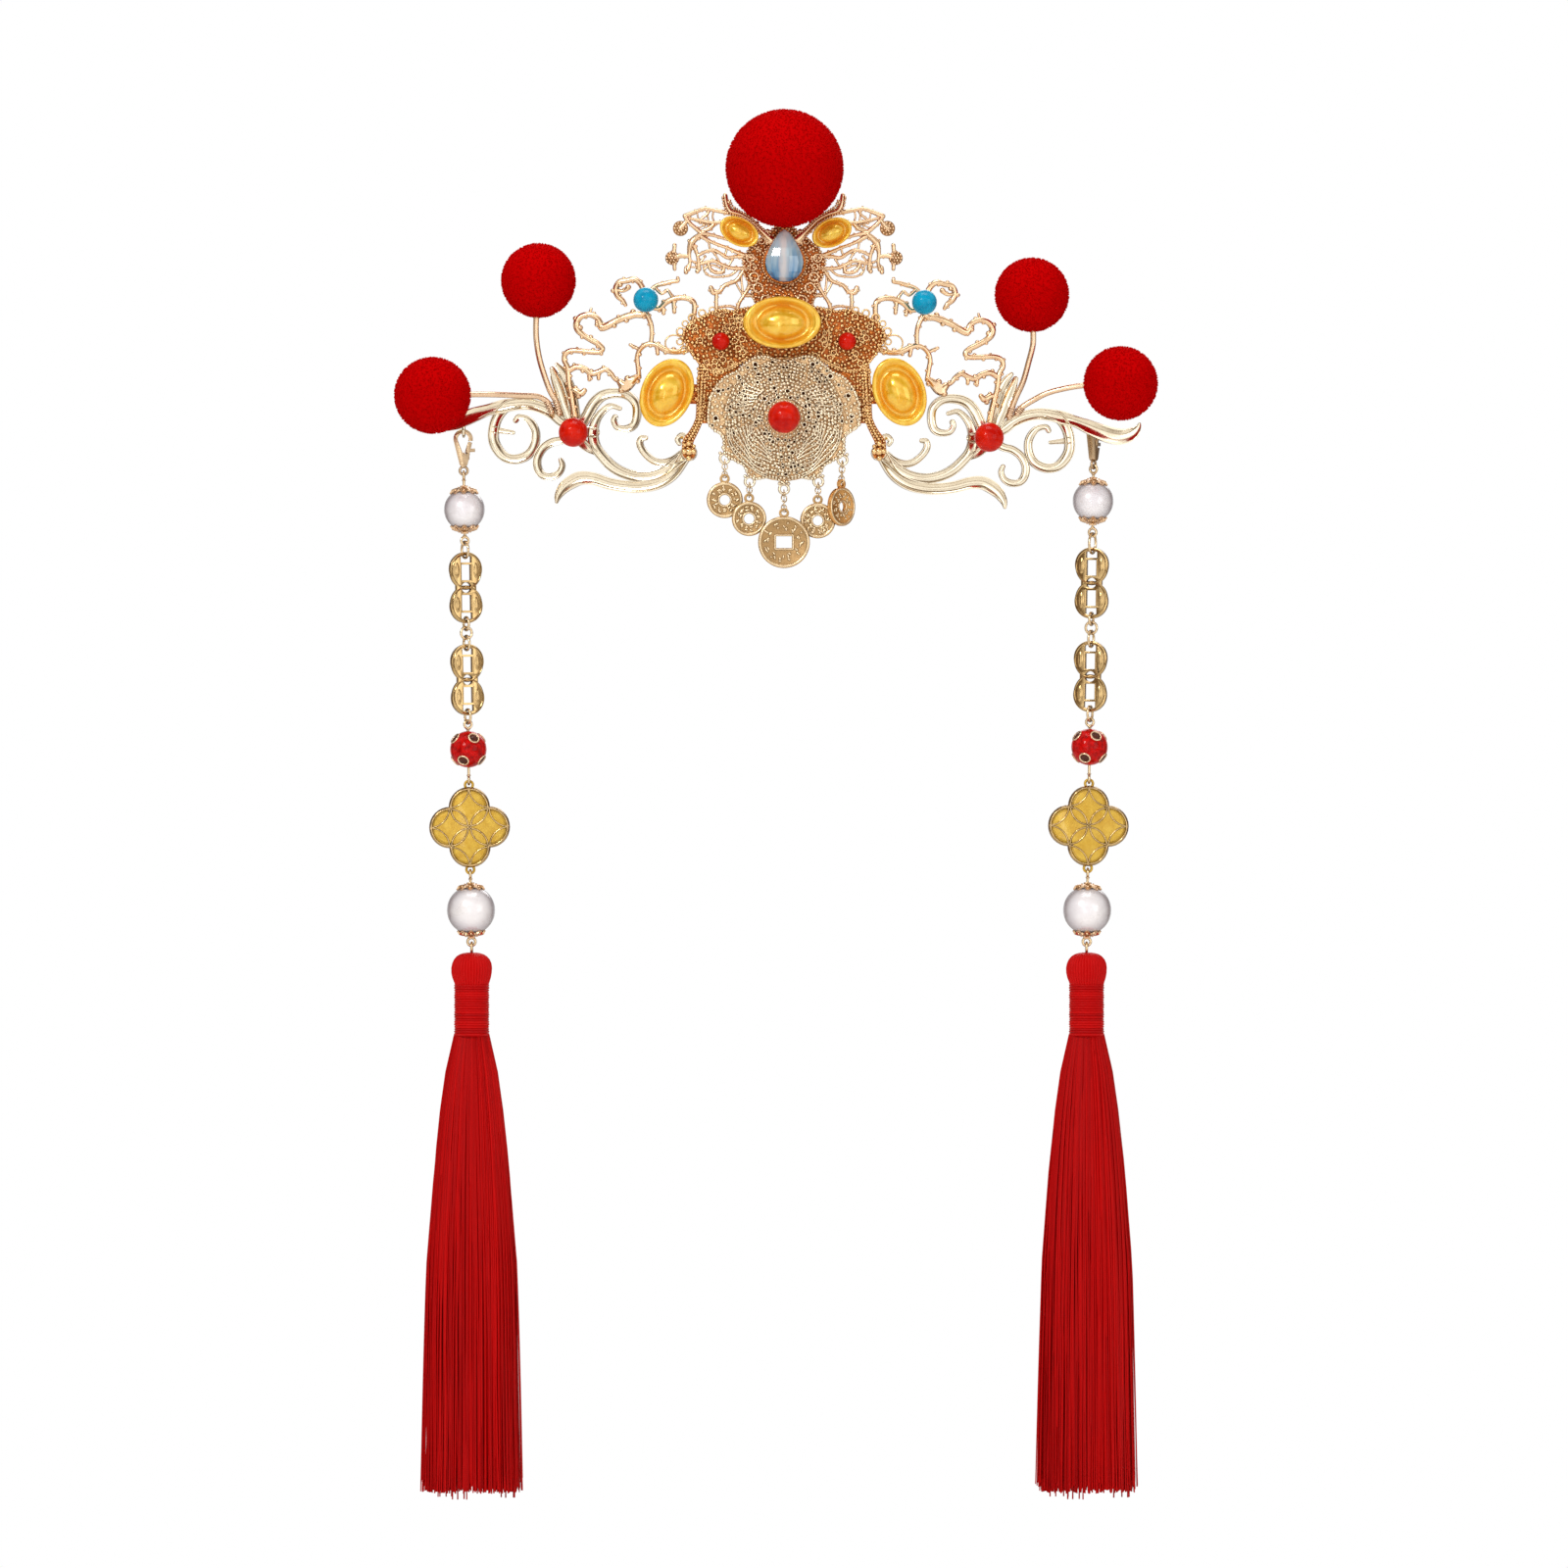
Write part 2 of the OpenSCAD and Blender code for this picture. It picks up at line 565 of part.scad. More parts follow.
module crystal() {
    color(crystal_blue) translate([crystal_place.x, crystal_girdle, crystal_place.y])
        intersection() {
            scale([1, crystal_depth, 1]) rotate_extrude($fn = 40)
                intersection() {
                    pear($fn = 40);
                    translate([0, -crystal_r]) square([crystal_r, crystal_r + crystal_tip]);
                }
            translate([-10, -10, -10]) cube([20, 10 + crystal_flat, 30]);
        }
}

bezel_wall = 0.7;
module crystal_setting() {
    floor_front = crystal_girdle + crystal_flat + seat_gap / 2;
    color(rose_gold) translate([crystal_place.x, 0, crystal_place.y]) difference() {
        sheet(crystal_girdle - 0.3, crest_front - seat_gap)
            offset(r = bezel_wall + 0.15) pear();
        sheet(crystal_girdle - 1, floor_front) offset(r = 0.15) pear();
    }
}

// Pompoms: [x, y, z, diameter]

pompom_rows = [
    [-62.8, 7, 28.75, 19.3],
    [-89.8, 4, -0.7, 19.8],
    [63.4, 7, 25.1, 19.2],
    [86, 4, 2.35, 19.2]
];
stem_hole_d = 2.1;

// Stem wires, from the wing to the inside of each pompom: [x, y, z]
stem_routes = [
    [[-57.4, 8, -5.2], [-58.4, 8, -2], [-59.8, 7.8, 0.5], [-61.3, 7.5, 4.5],
     [-62.6, 7.2, 9], [-63.3, 7, 13.6], [-63.4, 7, 17.77], [-63.05, 7, 24.06]],
    [[-59.4, 8.4, -4.8], [-60.6, 8.2, -2.2], [-63, 7.6, -0.9], [-67, 6.6, -0.7],
     [-72.5, 5.4, -0.5], [-78.3, 4.67, -0.45], [-85.3, 4.26, -0.6]],
    [[57.6, 8, -6.2], [58.4, 8, -3.6], [59.4, 7.8, -1], [61.2, 7.5, 3],
     [62.6, 7.2, 8], [63.5, 7, 11.5], [63.74, 7, 14.1], [63.54, 7, 20.5]],
    [[59.6, 8.3, -5.2], [60.8, 8, -3.7], [63.6, 7.4, -1.9], [68, 6.2, 0.2],
     [75.05, 4.88, 1.69], [81.52, 4.36, 2.08]]
];
stem_sides = 8;

function unit(v) = v / norm(v);
function tube_ring(p, i, d) =
    let (t = unit(p[min(i + 1, len(p) - 1)] - p[max(i - 1, 0)]),
        u = unit(cross(t, [0, 1, 0])), w = cross(u, t))
    [for (k = [0 : stem_sides - 1]) let (a = 360 * k / stem_sides)
        p[i] + d / 2 * (cos(a) * u + sin(a) * w)];

// One closed tube along a route
module tube(route, d) {
    p = smooth(route, 2);
    n = stem_sides;
    last = len(p) - 1;
    polyhedron(
        points = [for (i = [0 : last]) each tube_ring(p, i, d)],
        faces = concat([[for (k = [0 : n - 1]) k]],
            [for (i = [0 : last - 1], k = [0 : n - 1])
                [i * n + k, (i + 1) * n + k, (i + 1) * n + (k + 1) % n, i * n + (k + 1) % n]],
            [[for (k = [n - 1 : -1 : 0]) last * n + k]]));
}

module stems(side) {
    color(rose_gold) for (i = [0, 1]) tube(stem_routes[2 * side + i], stem_d);
}

module pompom_top() {
    color(velvet_red) difference() {
        translate(top_pompom) rotate(90) sphere(d = top_pompom_d, $fn = 64);
        rod(pompom_peg_start, top_pompom, stem_hole_d, 9);
    }
}

// The stem's hole runs from the last bend of the stem to just past its end
module pompom(i) {
    row = pompom_rows[i];
    middle = [row[0], row[1], row[2]];
    route = stem_routes[i];
    end = route[len(route) - 1];
    outside = middle + (end - middle) * (row[3] / norm(end - middle));
    color(velvet_red) difference() {
        translate(middle) rotate(90) sphere(d = row[3], $fn = 64);
        rod(outside, middle, stem_hole_d, row[3] - norm(end - middle) + 0.6);
    }
}

// Comb behind the base plate

comb_top = 5;
roof_t = 1.2;
tooth_w = 1.8;
flange_h = 6;
module hair_comb() {
    pitch = (comb_w - tooth_w) / (comb_teeth - 1);
    color(comb_silver) union() {
        translate([-comb_w / 2, seat_gap, comb_top - flange_h])
            cube([comb_w, roof_t, flange_h]);
        translate([-comb_w / 2, seat_gap, comb_top - roof_t])
            cube([comb_w, hair_gap + roof_t - seat_gap, roof_t]);
        for (i = [0 : comb_teeth - 1])
            translate([-comb_w / 2 + i * pitch, hair_gap, comb_top - tooth_l - roof_t])
                cube([tooth_w, roof_t, tooth_l + roof_t]);
    }
}

// Coins: [x, z, diameter, depth along Y, turn about Z, hole diameter]

coin_rows = [
    [-15.1, -27.6, 9.2, -1.9, 0, 2.6],
    [-8.9, -32.4, 8.8, -3.2, 0, 2.6],
    [0, -38.4, 13.2, -4.5, 0, 0],
    [8.6, -32.9, 9, -3.2, 0, 2.5],
    [14.6, -29.3, 9.9, -3.2, 50, 2.4]
];
coin_t = 0.8;
coin_rim = 0.15;
coin_window = [4, 3];              // hole of the big coin
bail_up = 0.8;                     // eye above the coin's edge

module coin(i) {
    row = coin_rows[i];
    color(antique_brass) translate([row[0], row[3], row[1]]) rotate([0, 0, row[4]])
        difference() {
            union() {
                sheet(-coin_t / 2, coin_t / 2) cast_together() {
                    circle(d = row[2], $fn = 64);
                    translate([0, row[2] / 2 + bail_up]) circle(d = 2.6, $fn = 24);
                }
                sheet(-coin_t / 2 - coin_rim, coin_t / 2 + coin_rim) difference() {
                    circle(d = row[2] - 0.1, $fn = 64);
                    circle(d = row[2] - 1.7, $fn = 64);
                }
            }
            sheet(-coin_t, coin_t) {
                if (row[5] > 0) circle(d = row[5], $fn = 32);
                else square(coin_window, center = true);
                translate([0, row[2] / 2 + bail_up + 0.1]) circle(d = 1.3, $fn = 24);
            }
        }
}

// Each chain hangs from the eye of the rim to the eye of its coin
module coin_chains() {
    color(antique_brass) for (i = [0 : 4]) {
        row = coin_rows[i];
        y = (row[3] + medallion_back - medallion_t / 2) / 2;
        from = [coin_eyes[i].x, y, coin_eyes[i].y - 1.85];
        to = [row[0], y, row[1] + row[2] / 2 + bail_up + 1.6];
        rod(from, to, 1, norm(to - from));
    }
}

// Side strings. Heights are the real z of each piece: [left, right]

base_ring_r = 1;                   // ring at the foot of the clasp
clasp_foot = clasp_l - base_ring_r - wire_d / 2;
clasp_z = [hanger[LEFT].y - 11, hanger[RIGHT].y - 8.95];
pearl_upper_z = [-29.6, -27.4];
link_upper_z = [-49.6, -48.4];
middle_ring_z = [-61.25, -59.9];
link_lower_z = [-73.25, -72.4];
cloisonne_z = [-91.1, -90.5];
quatrefoil_z = [-111.1, -110.75];
pearl_lower_z = [-132.4, -132.4];

string_x = [-82.2, 79.47];
string_y = [hanger_y(LEFT), hanger_y(RIGHT) + 1.87];
clasp_turn = [0, 58];
link_turn = [25, -20];
string_lean = [-0.95, 0.82];       // the strings drift inwards, in degrees

// Pieces of a string are placed on its thread, x = y = 0, at their real height
module on_string(side) {
    translate([string_x[side], string_y[side], clasp_z[side]])
        rotate([0, string_lean[side], 0]) translate([0, 0, -clasp_z[side]]) children();
}

hook_r = 2.5;
hook_z = clasp_foot - hook_r;
hook_wall = 1.1;
pivot = [0.55, 3.3];
gate_low = 4.3;
gate_high = 7.6;
slot_t = 0.9;
lever_t = 0.6;
rivet_d = 0.5;

module clasp_outer() {
    hull() {
        translate([0, hook_z]) circle(r = hook_r, $fn = 32);
        translate([0, 2]) circle(r = 1.1, $fn = 32);
    }
}
module clasp_inner() {
    hull() {
        translate([0, hook_z]) circle(r = hook_r - hook_wall, $fn = 32);
        translate([0, 4.9]) circle(r = 0.3, $fn = 32);
    }
}
module gate_window() translate([0.35, gate_low]) square([4, gate_high - gate_low]);

module clasp_body() {
    union() {
        difference() {
            sheet(-clasp_t / 2, clasp_t / 2) difference() {
                clasp_outer();
                clasp_inner();
                gate_window();
            }
            sheet(-slot_t / 2, slot_t / 2) {
                translate(pivot) circle(r = 1.25, $fn = 32);
                translate([-0.65, pivot.y]) square([3.2, 1.8]);
            }
        }
        facing() ring(base_ring_r, wire_d);
        translate([pivot.x, clasp_t / 2 - 0.1, pivot.y]) facing()
            cylinder(d = rivet_d, h = clasp_t - 0.2, $fn = 24);
    }
}

// The gate fills the window with a small gap, and turns on the rivet
module lever_body() {
    difference() {
        sheet(-lever_t / 2, lever_t / 2) {
            translate(pivot) circle(r = 1, $fn = 32);
            intersection() {
                difference() {
                    offset(delta = -0.05) clasp_outer();
                    offset(delta = 0.05) clasp_inner();
                }
                translate([0.5, pivot.y]) square([4, 5]);
                translate(pivot) circle(r = gate_high - pivot.y - 0.08, $fn = 96);
            }
            translate([1.4, gate_low + 0.45]) square([1.6, 0.9]);
        }
        translate([pivot.x, 1, pivot.y]) facing()
            cylinder(d = rivet_d + 0.2, h = 2, $fn = 24);
    }
}

module on_clasp(side) {
    on_string(side) translate([0, 0, clasp_z[side]]) rotate([0, 0, clasp_turn[side]]) children();
}
module clasp(side) color(champagne) on_clasp(side) clasp_body();
module clasp_lever(side) color(champagne) on_clasp(side) lever_body();

bore_d = 1.1;
module drilled_bead(d, z, shade) {
    color(shade) translate([0, 0, z]) difference() {
        sphere(d = d, $fn = 64);
        translate([0, 0, -d]) cylinder(d = bore_d, h = 2 * d, $fn = 24);
    }
}

// Link of two joined coins, with a square window in each and a gap at each end
coin_r = 4.44;
link_rim = 0.9;
link_t = 1.4;
coin_up = link_h / 2 - coin_r;
window_z = [1.9, 5.9];
window_w = 2.6;
module link_outline() {
    difference() {
        union() {
            for (s = [-1, 1]) translate([0, s * coin_up]) circle(r = coin_r, $fn = 64);
            square([2 * coin_r - 3.4, 4], center = true);
        }
        for (s = [0, 1]) mirror([0, s]) {
            translate([-window_w / 2, window_z[0]])
                square([window_w, window_z[1] - window_z[0]]);
            intersection() {
                translate([0, coin_up]) circle(r = coin_r - link_rim, $fn = 64);
                translate([-1.5, window_z[1] + 0.55]) square([3, 4]);
            }
        }
        circle(r = 1.35, $fn = 32);
    }
}
module coin_link(side, z) {
    color(yellow_gold) on_string(side) translate([0, 0, z])
        rotate([0, 0, link_turn[side]])
            sheet(-link_t / 2, link_t / 2) link_outline();
}

lobe_r = 4.95;
lobe_out = 5.05;
quatrefoil_t = 3.2;
quatrefoil_crown = 0.5;            // the pillowed middle stands proud of the edge
eye_up = 0.85;                     // middle of a soldered eye above its piece
module quatrefoil_outline() {
    for (a = [0 : 90 : 270]) rotate(a) translate([lobe_out, 0]) circle(r = lobe_r, $fn = 48);
    square(2 * lobe_out, center = true);
}
module quatrefoil(side) {
    color(enamel_yellow) on_string(side) translate([0, 0, quatrefoil_z[side]]) union() {
        sheet(-quatrefoil_t / 2, quatrefoil_t / 2) cast_together() quatrefoil_outline();
        sheet(-quatrefoil_t / 2 - quatrefoil_crown, quatrefoil_t / 2 + quatrefoil_crown)
            offset(delta = -1) quatrefoil_outline();
        for (s = [-1, 1])
            translate([0, 0, s * (lobe_out + lobe_r + eye_up)]) facing() ring(1, wire_d);
    }
}
// Wire fittings. A pin runs through a bead and has an eye at each end.
hook_on = wire_d + 0.1;            // how far two hooked wires pass each other
module upright_ring(high, low, turn) {
    translate([0, 0, (high + low) / 2]) rotate([0, 0, turn]) facing()
        ring((high - low) / 2, wire_d);
}
module pin(high_eye, low_eye, high_turn, low_turn) {
    upright_ring(high_eye + 1, high_eye - 1, high_turn);
    upright_ring(low_eye + 1, low_eye - 1, low_turn);
    translate([0, 0, low_eye + 0.9])
        cylinder(d = wire_d, h = high_eye - low_eye - 1.8, $fn = 24);
}
cap_t = 0.6;
cap_gap = 0.15;
module bead_caps(d, z, cap_d) {
    translate([0, 0, z]) intersection() {
        difference() {
            sphere(r = d / 2 + cap_gap + cap_t, $fn = 64);
            sphere(r = d / 2 + cap_gap, $fn = 64);
        }
        translate([0, 0, -d]) cylinder(d = cap_d, h = 2 * d, $fn = 48);
    }
}

function pearl_reach(d) = d / 2 + cap_gap + cap_t;

module string_fittings(side) {
    first_eye = clasp_z[side] - base_ring_r + hook_on - 1;
    second_eye = pearl_upper_z[side] - pearl_reach(upper_pearl_d) - 2;
    link_in = link_h / 2 - link_rim - 0.65;
    face_r = 1.5;
    bead_eye = cloisonne_z[side] + cloisonne_d / 2 + 1.65;
    leaf_eye = lobe_out + lobe_r + eye_up;
    bead_low_eye = quatrefoil_z[side] + leaf_eye + 1 - hook_on + 1;
    leaf_low_wire = quatrefoil_z[side] - leaf_eye - 1;
    third_eye = leaf_low_wire + hook_on - 1;
    fourth_eye = pearl_lower_z[side] - pearl_reach(lower_pearl_d) - 1.15;
    color(antique_brass) on_string(side) {
        union() {
            pin(first_eye, second_eye, clasp_turn[side] + 90, link_turn[side]);
            bead_caps(upper_pearl_d, pearl_upper_z[side], 6.4);
        }
        upright_ring(second_eye - 1 + hook_on, link_upper_z[side] + link_in,
            link_turn[side] + 90);
        upright_ring(link_upper_z[side] - link_in, middle_ring_z[side] + face_r - hook_on,
            link_turn[side] + 90);
        upright_ring(middle_ring_z[side] + face_r, middle_ring_z[side] - face_r,
            link_turn[side]);
        upright_ring(middle_ring_z[side] - face_r + hook_on, link_lower_z[side] + link_in,
            link_turn[side] + 90);
        upright_ring(link_lower_z[side] - link_in, bead_eye + 1 - hook_on,
            link_turn[side] + 90);
        pin(bead_eye, bead_low_eye, link_turn[side], 90);
        union() {
            pin(third_eye, fourth_eye, 90, 0);
            bead_caps(lower_pearl_d, pearl_lower_z[side], 6.2);
        }
    }
}

// Tassels: a silk-covered head with its binding, and a skirt of strands

head_top_z = -143.2;
head_outline = [[0, 0], [2.2, -0.15], [3.8, -0.9], [4.9, -2.3], [5.3, -4.3], [5.15, -6],
    [4.6, -7.4], [4.4, -8.2], [4.5, -9], [4.55, -15], [4.5, -21], [4.2, -21.3], [0, -21.3]];
skirt_top_z = head_top_z - 21.6;
skirt_depth = 0.65;                // the skirt is flatter than it is wide
// Half width of the skirt down its length: [half width, share of the length]
skirt_rows = [[0, 0], [4.4, 0], [5.6, 0.04], [6.8, 0.09], [8.5, 0.195], [9.6, 0.3],
    [10.5, 0.4], [11.1, 0.51], [11.5, 0.63], [11.9, 0.76], [12.6, 0.87], [13.2, 0.95],
    [12.8, 1], [0, 1]];
tassel_x = [for (side = [LEFT, RIGHT])
    string_x[side] + (head_top_z - clasp_z[side]) * tan(string_lean[side])];

module on_tassel(side) translate([tassel_x[side], string_y[side], 0]) children();

module tassel_head(side) {
    color(silk_red) on_tassel(side) {
        union() {
            translate([0, 0, head_top_z]) rotate_extrude($fn = 64) polygon(head_outline);
            upright_ring(head_top_z + 2.5, head_top_z - 0.2, 90);
        }
    }
}

module tassel_skirt(side) {
    color(silk_red) on_tassel(side) translate([0, 0, skirt_top_z])
        scale([1, skirt_depth, 1]) rotate_extrude($fn = 64)
            polygon([for (r = skirt_rows) [r[0], -r[1] * skirt_l]]);
}

medallion();
medallion_bead();
base_plate();
crest_plate();
branch(LEFT);  // branch_left
branch(RIGHT);  // branch_right
scroll(LEFT);  // scroll_left
scroll(RIGHT);  // scroll_right
ingot(ingot_rows[0]);  // ingot_center
ingot(ingot_rows[1]);  // ingot_left
ingot(ingot_rows[2]);  // ingot_right
ingot(ingot_rows[3]);  // ingot_top_left
ingot(ingot_rows[4]);  // ingot_top_right
crystal_setting();
crystal();
turquoise(LEFT);  // turquoise_left
turquoise(RIGHT);  // turquoise_right
coral(LEFT);  // coral_left
coral(RIGHT);  // coral_right
coral_small(LEFT);  // coral_small_left
coral_small(RIGHT);  // coral_small_right
pompom_top();
pompom(0);  // pompom_left_upper
pompom(1);  // pompom_left_outer
pompom(2);  // pompom_right_upper
pompom(3);  // pompom_right_outer
stems(LEFT);  // stems_left
stems(RIGHT);  // stems_right
hair_comb();
coin(0);  // coin_1
coin(1);  // coin_2
coin(2);  // coin_3
coin(3);  // coin_4
coin(4);  // coin_5
coin_chains();
clasp(LEFT);  // clasp_left
clasp_lever(LEFT);  // clasp_lever_left
on_string(LEFT) drilled_bead(upper_pearl_d, pearl_upper_z[LEFT], pearl_grey);  // pearl_upper_left
coin_link(LEFT, link_upper_z[LEFT]);  // coin_link_upper_left
coin_link(LEFT, link_lower_z[LEFT]);  // coin_link_lower_left
on_string(LEFT) drilled_bead(cloisonne_d, cloisonne_z[LEFT], coral_red);  // cloisonne_bead_left
quatrefoil(LEFT);  // quatrefoil_left
on_string(LEFT) drilled_bead(lower_pearl_d, pearl_lower_z[LEFT], pearl_grey);  // pearl_lower_left
string_fittings(LEFT);  // string_fittings_left
tassel_head(LEFT);  // tassel_head_left
tassel_skirt(LEFT);  // tassel_skirt_left
clasp(RIGHT);  // clasp_right
clasp_lever(RIGHT);  // clasp_lever_right
on_string(RIGHT) drilled_bead(upper_pearl_d, pearl_upper_z[RIGHT], pearl_grey);  // pearl_upper_right
coin_link(RIGHT, link_upper_z[RIGHT]);  // coin_link_upper_right
coin_link(RIGHT, link_lower_z[RIGHT]);  // coin_link_lower_right
on_string(RIGHT) drilled_bead(cloisonne_d, cloisonne_z[RIGHT], coral_red);  // cloisonne_bead_right
quatrefoil(RIGHT);  // quatrefoil_right
on_string(RIGHT) drilled_bead(lower_pearl_d, pearl_lower_z[RIGHT], pearl_grey);  // pearl_lower_right
string_fittings(RIGHT);  // string_fittings_right
tassel_head(RIGHT);  // tassel_head_right
tassel_skirt(RIGHT);  // tassel_skirt_right
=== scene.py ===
# %% [markdown]
# # A hair crown with pompoms, coins and two long side strings
#
# The crown hangs as it does when it is worn: plates and wings stand upright, the strings
# hang down beside the face. Its measured frame gives the place of every piece. Each cell
# below makes one kind of piece the way a workshop would: cast wings, granulated plates,
# turned ingots, bent wire, cut yarn and bundled silk.

import random
from contextlib import contextmanager
from math import acos, asin, atan2, cos, degrees, dist, hypot, pi, radians, sin, sqrt, tan, tau

import bpy
from mathutils import Matrix, Vector


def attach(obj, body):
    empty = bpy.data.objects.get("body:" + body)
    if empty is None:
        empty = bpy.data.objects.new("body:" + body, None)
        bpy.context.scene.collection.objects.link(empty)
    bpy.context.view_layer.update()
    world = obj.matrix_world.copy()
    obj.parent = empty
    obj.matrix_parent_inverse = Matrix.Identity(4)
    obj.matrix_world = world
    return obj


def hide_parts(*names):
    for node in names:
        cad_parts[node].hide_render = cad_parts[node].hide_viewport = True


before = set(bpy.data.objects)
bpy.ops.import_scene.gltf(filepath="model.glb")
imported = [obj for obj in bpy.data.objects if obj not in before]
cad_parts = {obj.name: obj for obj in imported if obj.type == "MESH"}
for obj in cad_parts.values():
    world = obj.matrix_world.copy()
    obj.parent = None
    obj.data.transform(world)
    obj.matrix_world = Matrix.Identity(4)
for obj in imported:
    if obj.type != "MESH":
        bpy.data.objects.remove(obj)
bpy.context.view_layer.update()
MM = 0.001

# %% [markdown]
# ## The camera and the light
#
# The photograph looks straight at the crown with a long lens, on white. A camera 3 m away
# keeps the strings parallel. The light is one big soft lamp above left, a weaker one from
# the right, and two narrow ones that draw long highlights on the gold. Metal shows what
# is around it, so the surroundings that it mirrors are white above and darker below.

# %% Camera and lamps
CAMERA_AWAY, FILM, SEEN_WIDTH = 3, 36, 0.4
bpy.ops.object.camera_add(location=(0, -CAMERA_AWAY, -0.1))
camera = bpy.context.object
camera.rotation_euler = (radians(90), 0, 0)
camera.data.sensor_width = FILM
camera.data.lens = FILM * CAMERA_AWAY / SEEN_WIDTH
camera.data.clip_end = 20
bpy.context.scene.camera = camera

# Each lamp has its place, width, height and power.
lamps = {
    "key": ((-0.7, -1.1, 0.7), 0.35, 0.35, 6.5),
    "fill": ((0.9, -0.9, 0.1), 0.6, 0.8, 2.5),
    "top": ((0, -0.1, 0.9), 0.6, 0.4, 3),
    "back": ((0.2, 0.9, 0.5), 0.7, 0.5, 3),
    "strip": ((-0.25, -1.2, -0.2), 0.08, 1.0, 0.8),
}
LAMP_TARGET = Vector((0, 0, -0.06))
for name, (spot, width, height, power) in lamps.items():
    bpy.ops.object.light_add(type="AREA", location=spot)
    lamp = bpy.context.object
    lamp.name = "lamp_" + name
    lamp.data.shape = "RECTANGLE"
    lamp.data.size, lamp.data.size_y = width, height
    lamp.data.energy = power
    lamp.rotation_euler = (LAMP_TARGET - lamp.location).to_track_quat("-Z", "Y").to_euler()
print("lamps:", len(lamps))

# %% [markdown]
# Surroundings and finishes are both made of shader nodes. These helpers add one kind of
# node each, fill its inputs with numbers, colours or other nodes' outputs, and hand on
# what comes out of it.


# %% Shader nodes
def set_inputs(tree, node, values):
    """Values are numbers, colours without alpha, or other nodes' outputs to link."""
    for name, value in values.items():
        socket = node.inputs[name]
        if isinstance(value, bpy.types.NodeSocket):
            tree.links.new(value, socket)
        else:
            socket.default_value = (*value, 1) if socket.type == "RGBA" else value


def node_in(tree, kind, inputs, **settings):
    node = tree.nodes.new("ShaderNode" + kind)
    for name, value in settings.items():
        setattr(node, name, value)
    set_inputs(tree, node, inputs)
    return node


def math_in(tree, operation, a, b=0.0):
    return node_in(tree, "Math", {0: a, 1: b}, operation=operation).outputs[0]


def mix_in(tree, factor, a, b, blend="MIX"):
    return node_in(tree, "Mix", {0: factor, 6: a, 7: b}, data_type="RGBA", blend_type=blend).outputs[2]


def spread(tree, value, low, high, to_low=0.0, to_high=1.0):
    ends = {"Value": value, "From Min": low, "From Max": high, "To Min": to_low, "To Max": to_high}
    return node_in(tree, "MapRange", ends).outputs["Result"]


def ramp_in(tree, value, start, end, *stops):
    ramp = node_in(tree, "ValToRGB", {"Fac": value})
    elements = ramp.color_ramp.elements
    elements[0].color, elements[1].color = (*start, 1), (*end, 1)
    for position, colour in stops:
        elements.new(position).color = (*colour, 1)
    return ramp.outputs["Color"]


def place_in(tree, kind="Object"):
    return node_in(tree, "TexCoord", {}).outputs[kind]


def noise_in(tree, scale, detail, swirl=0.0, vector=None):
    vector = vector or place_in(tree)
    inputs = {"Vector": vector, "Scale": scale, "Detail": detail, "Distortion": swirl}
    return node_in(tree, "TexNoise", inputs).outputs["Fac"]


def hollow_shade_in(tree, reach, low, high):
    """1 in hollows and 0 in the open, where the reach is in mm; it masks painted shade."""
    hidden = node_in(tree, "AmbientOcclusion", {"Distance": reach * MM}, samples=6)
    return spread(tree, hidden.outputs["AO"], low, high, 1.0, 0.0)


def painted_rim_shade_in(tree, blend, low, high, most=1.0):
    """Grows towards the outline, where the surface is seen side-on; it masks a painted dark rim."""
    facing = node_in(tree, "LayerWeight", {"Blend": blend}).outputs["Facing"]
    return spread(tree, facing, low, high, 0.0, most)


def bump_in(tree, height, strength, distance):
    inputs = {"Height": height, "Strength": strength, "Distance": distance * MM}
    return node_in(tree, "Bump", inputs).outputs["Normal"]


def new_material(name):
    material = bpy.data.materials.new(name)
    material.use_nodes = True
    return material, material.node_tree, material.node_tree.nodes["Principled BSDF"]


print("node helpers ready")

# %% [markdown]
# The backdrop is white for the camera. What the metal mirrors comes from a second sky:
# white overhead, a grey band above the horizon and a warm dark ground. A dark ring round
# the line of sight makes every rounded edge end in a dark line, as on polished gold.

# %% Surroundings
world = bpy.data.worlds.new("studio")
bpy.context.scene.world = world
world.use_nodes = True
tree = world.node_tree
tree.nodes.clear()
WHITE = (1, 1, 1)
way = node_in(tree, "SeparateXYZ", {0: place_in(tree, "Generated")}).outputs
upwards = ramp_in(
    tree, spread(tree, way["Z"], -1, 1), (0.22, 0.17, 0.13), WHITE,
    (0.34, (0.3, 0.24, 0.19)), (0.44, (1, 0.98, 0.95)), (0.52, WHITE), (0.6, (0.5, 0.47, 0.44)), (0.7, WHITE),
)
DARK_RING = (0.2, 0.14, 0.09)
around = ramp_in(
    tree, math_in(tree, "ABSOLUTE", way["Y"]), (0.85, 0.83, 0.8), WHITE,
    (0.3, (0.7, 0.67, 0.62)), (0.46, DARK_RING), (0.7, DARK_RING), (0.84, WHITE),
)
mirrored = node_in(tree, "Background", {"Color": mix_in(tree, 1.0, upwards, around, "MULTIPLY"), "Strength": 1.15})
backdrop = node_in(tree, "Background", {"Color": WHITE, "Strength": 1.0})
to_camera = node_in(tree, "LightPath", {}).outputs["Is Camera Ray"]
sky = node_in(tree, "MixShader", {0: to_camera, 1: mirrored.outputs[0], 2: backdrop.outputs[0]})
node_in(tree, "OutputWorld", {"Surface": sky.outputs[0]})
bpy.context.scene.view_settings.view_transform = "Standard"
print("surroundings ready")

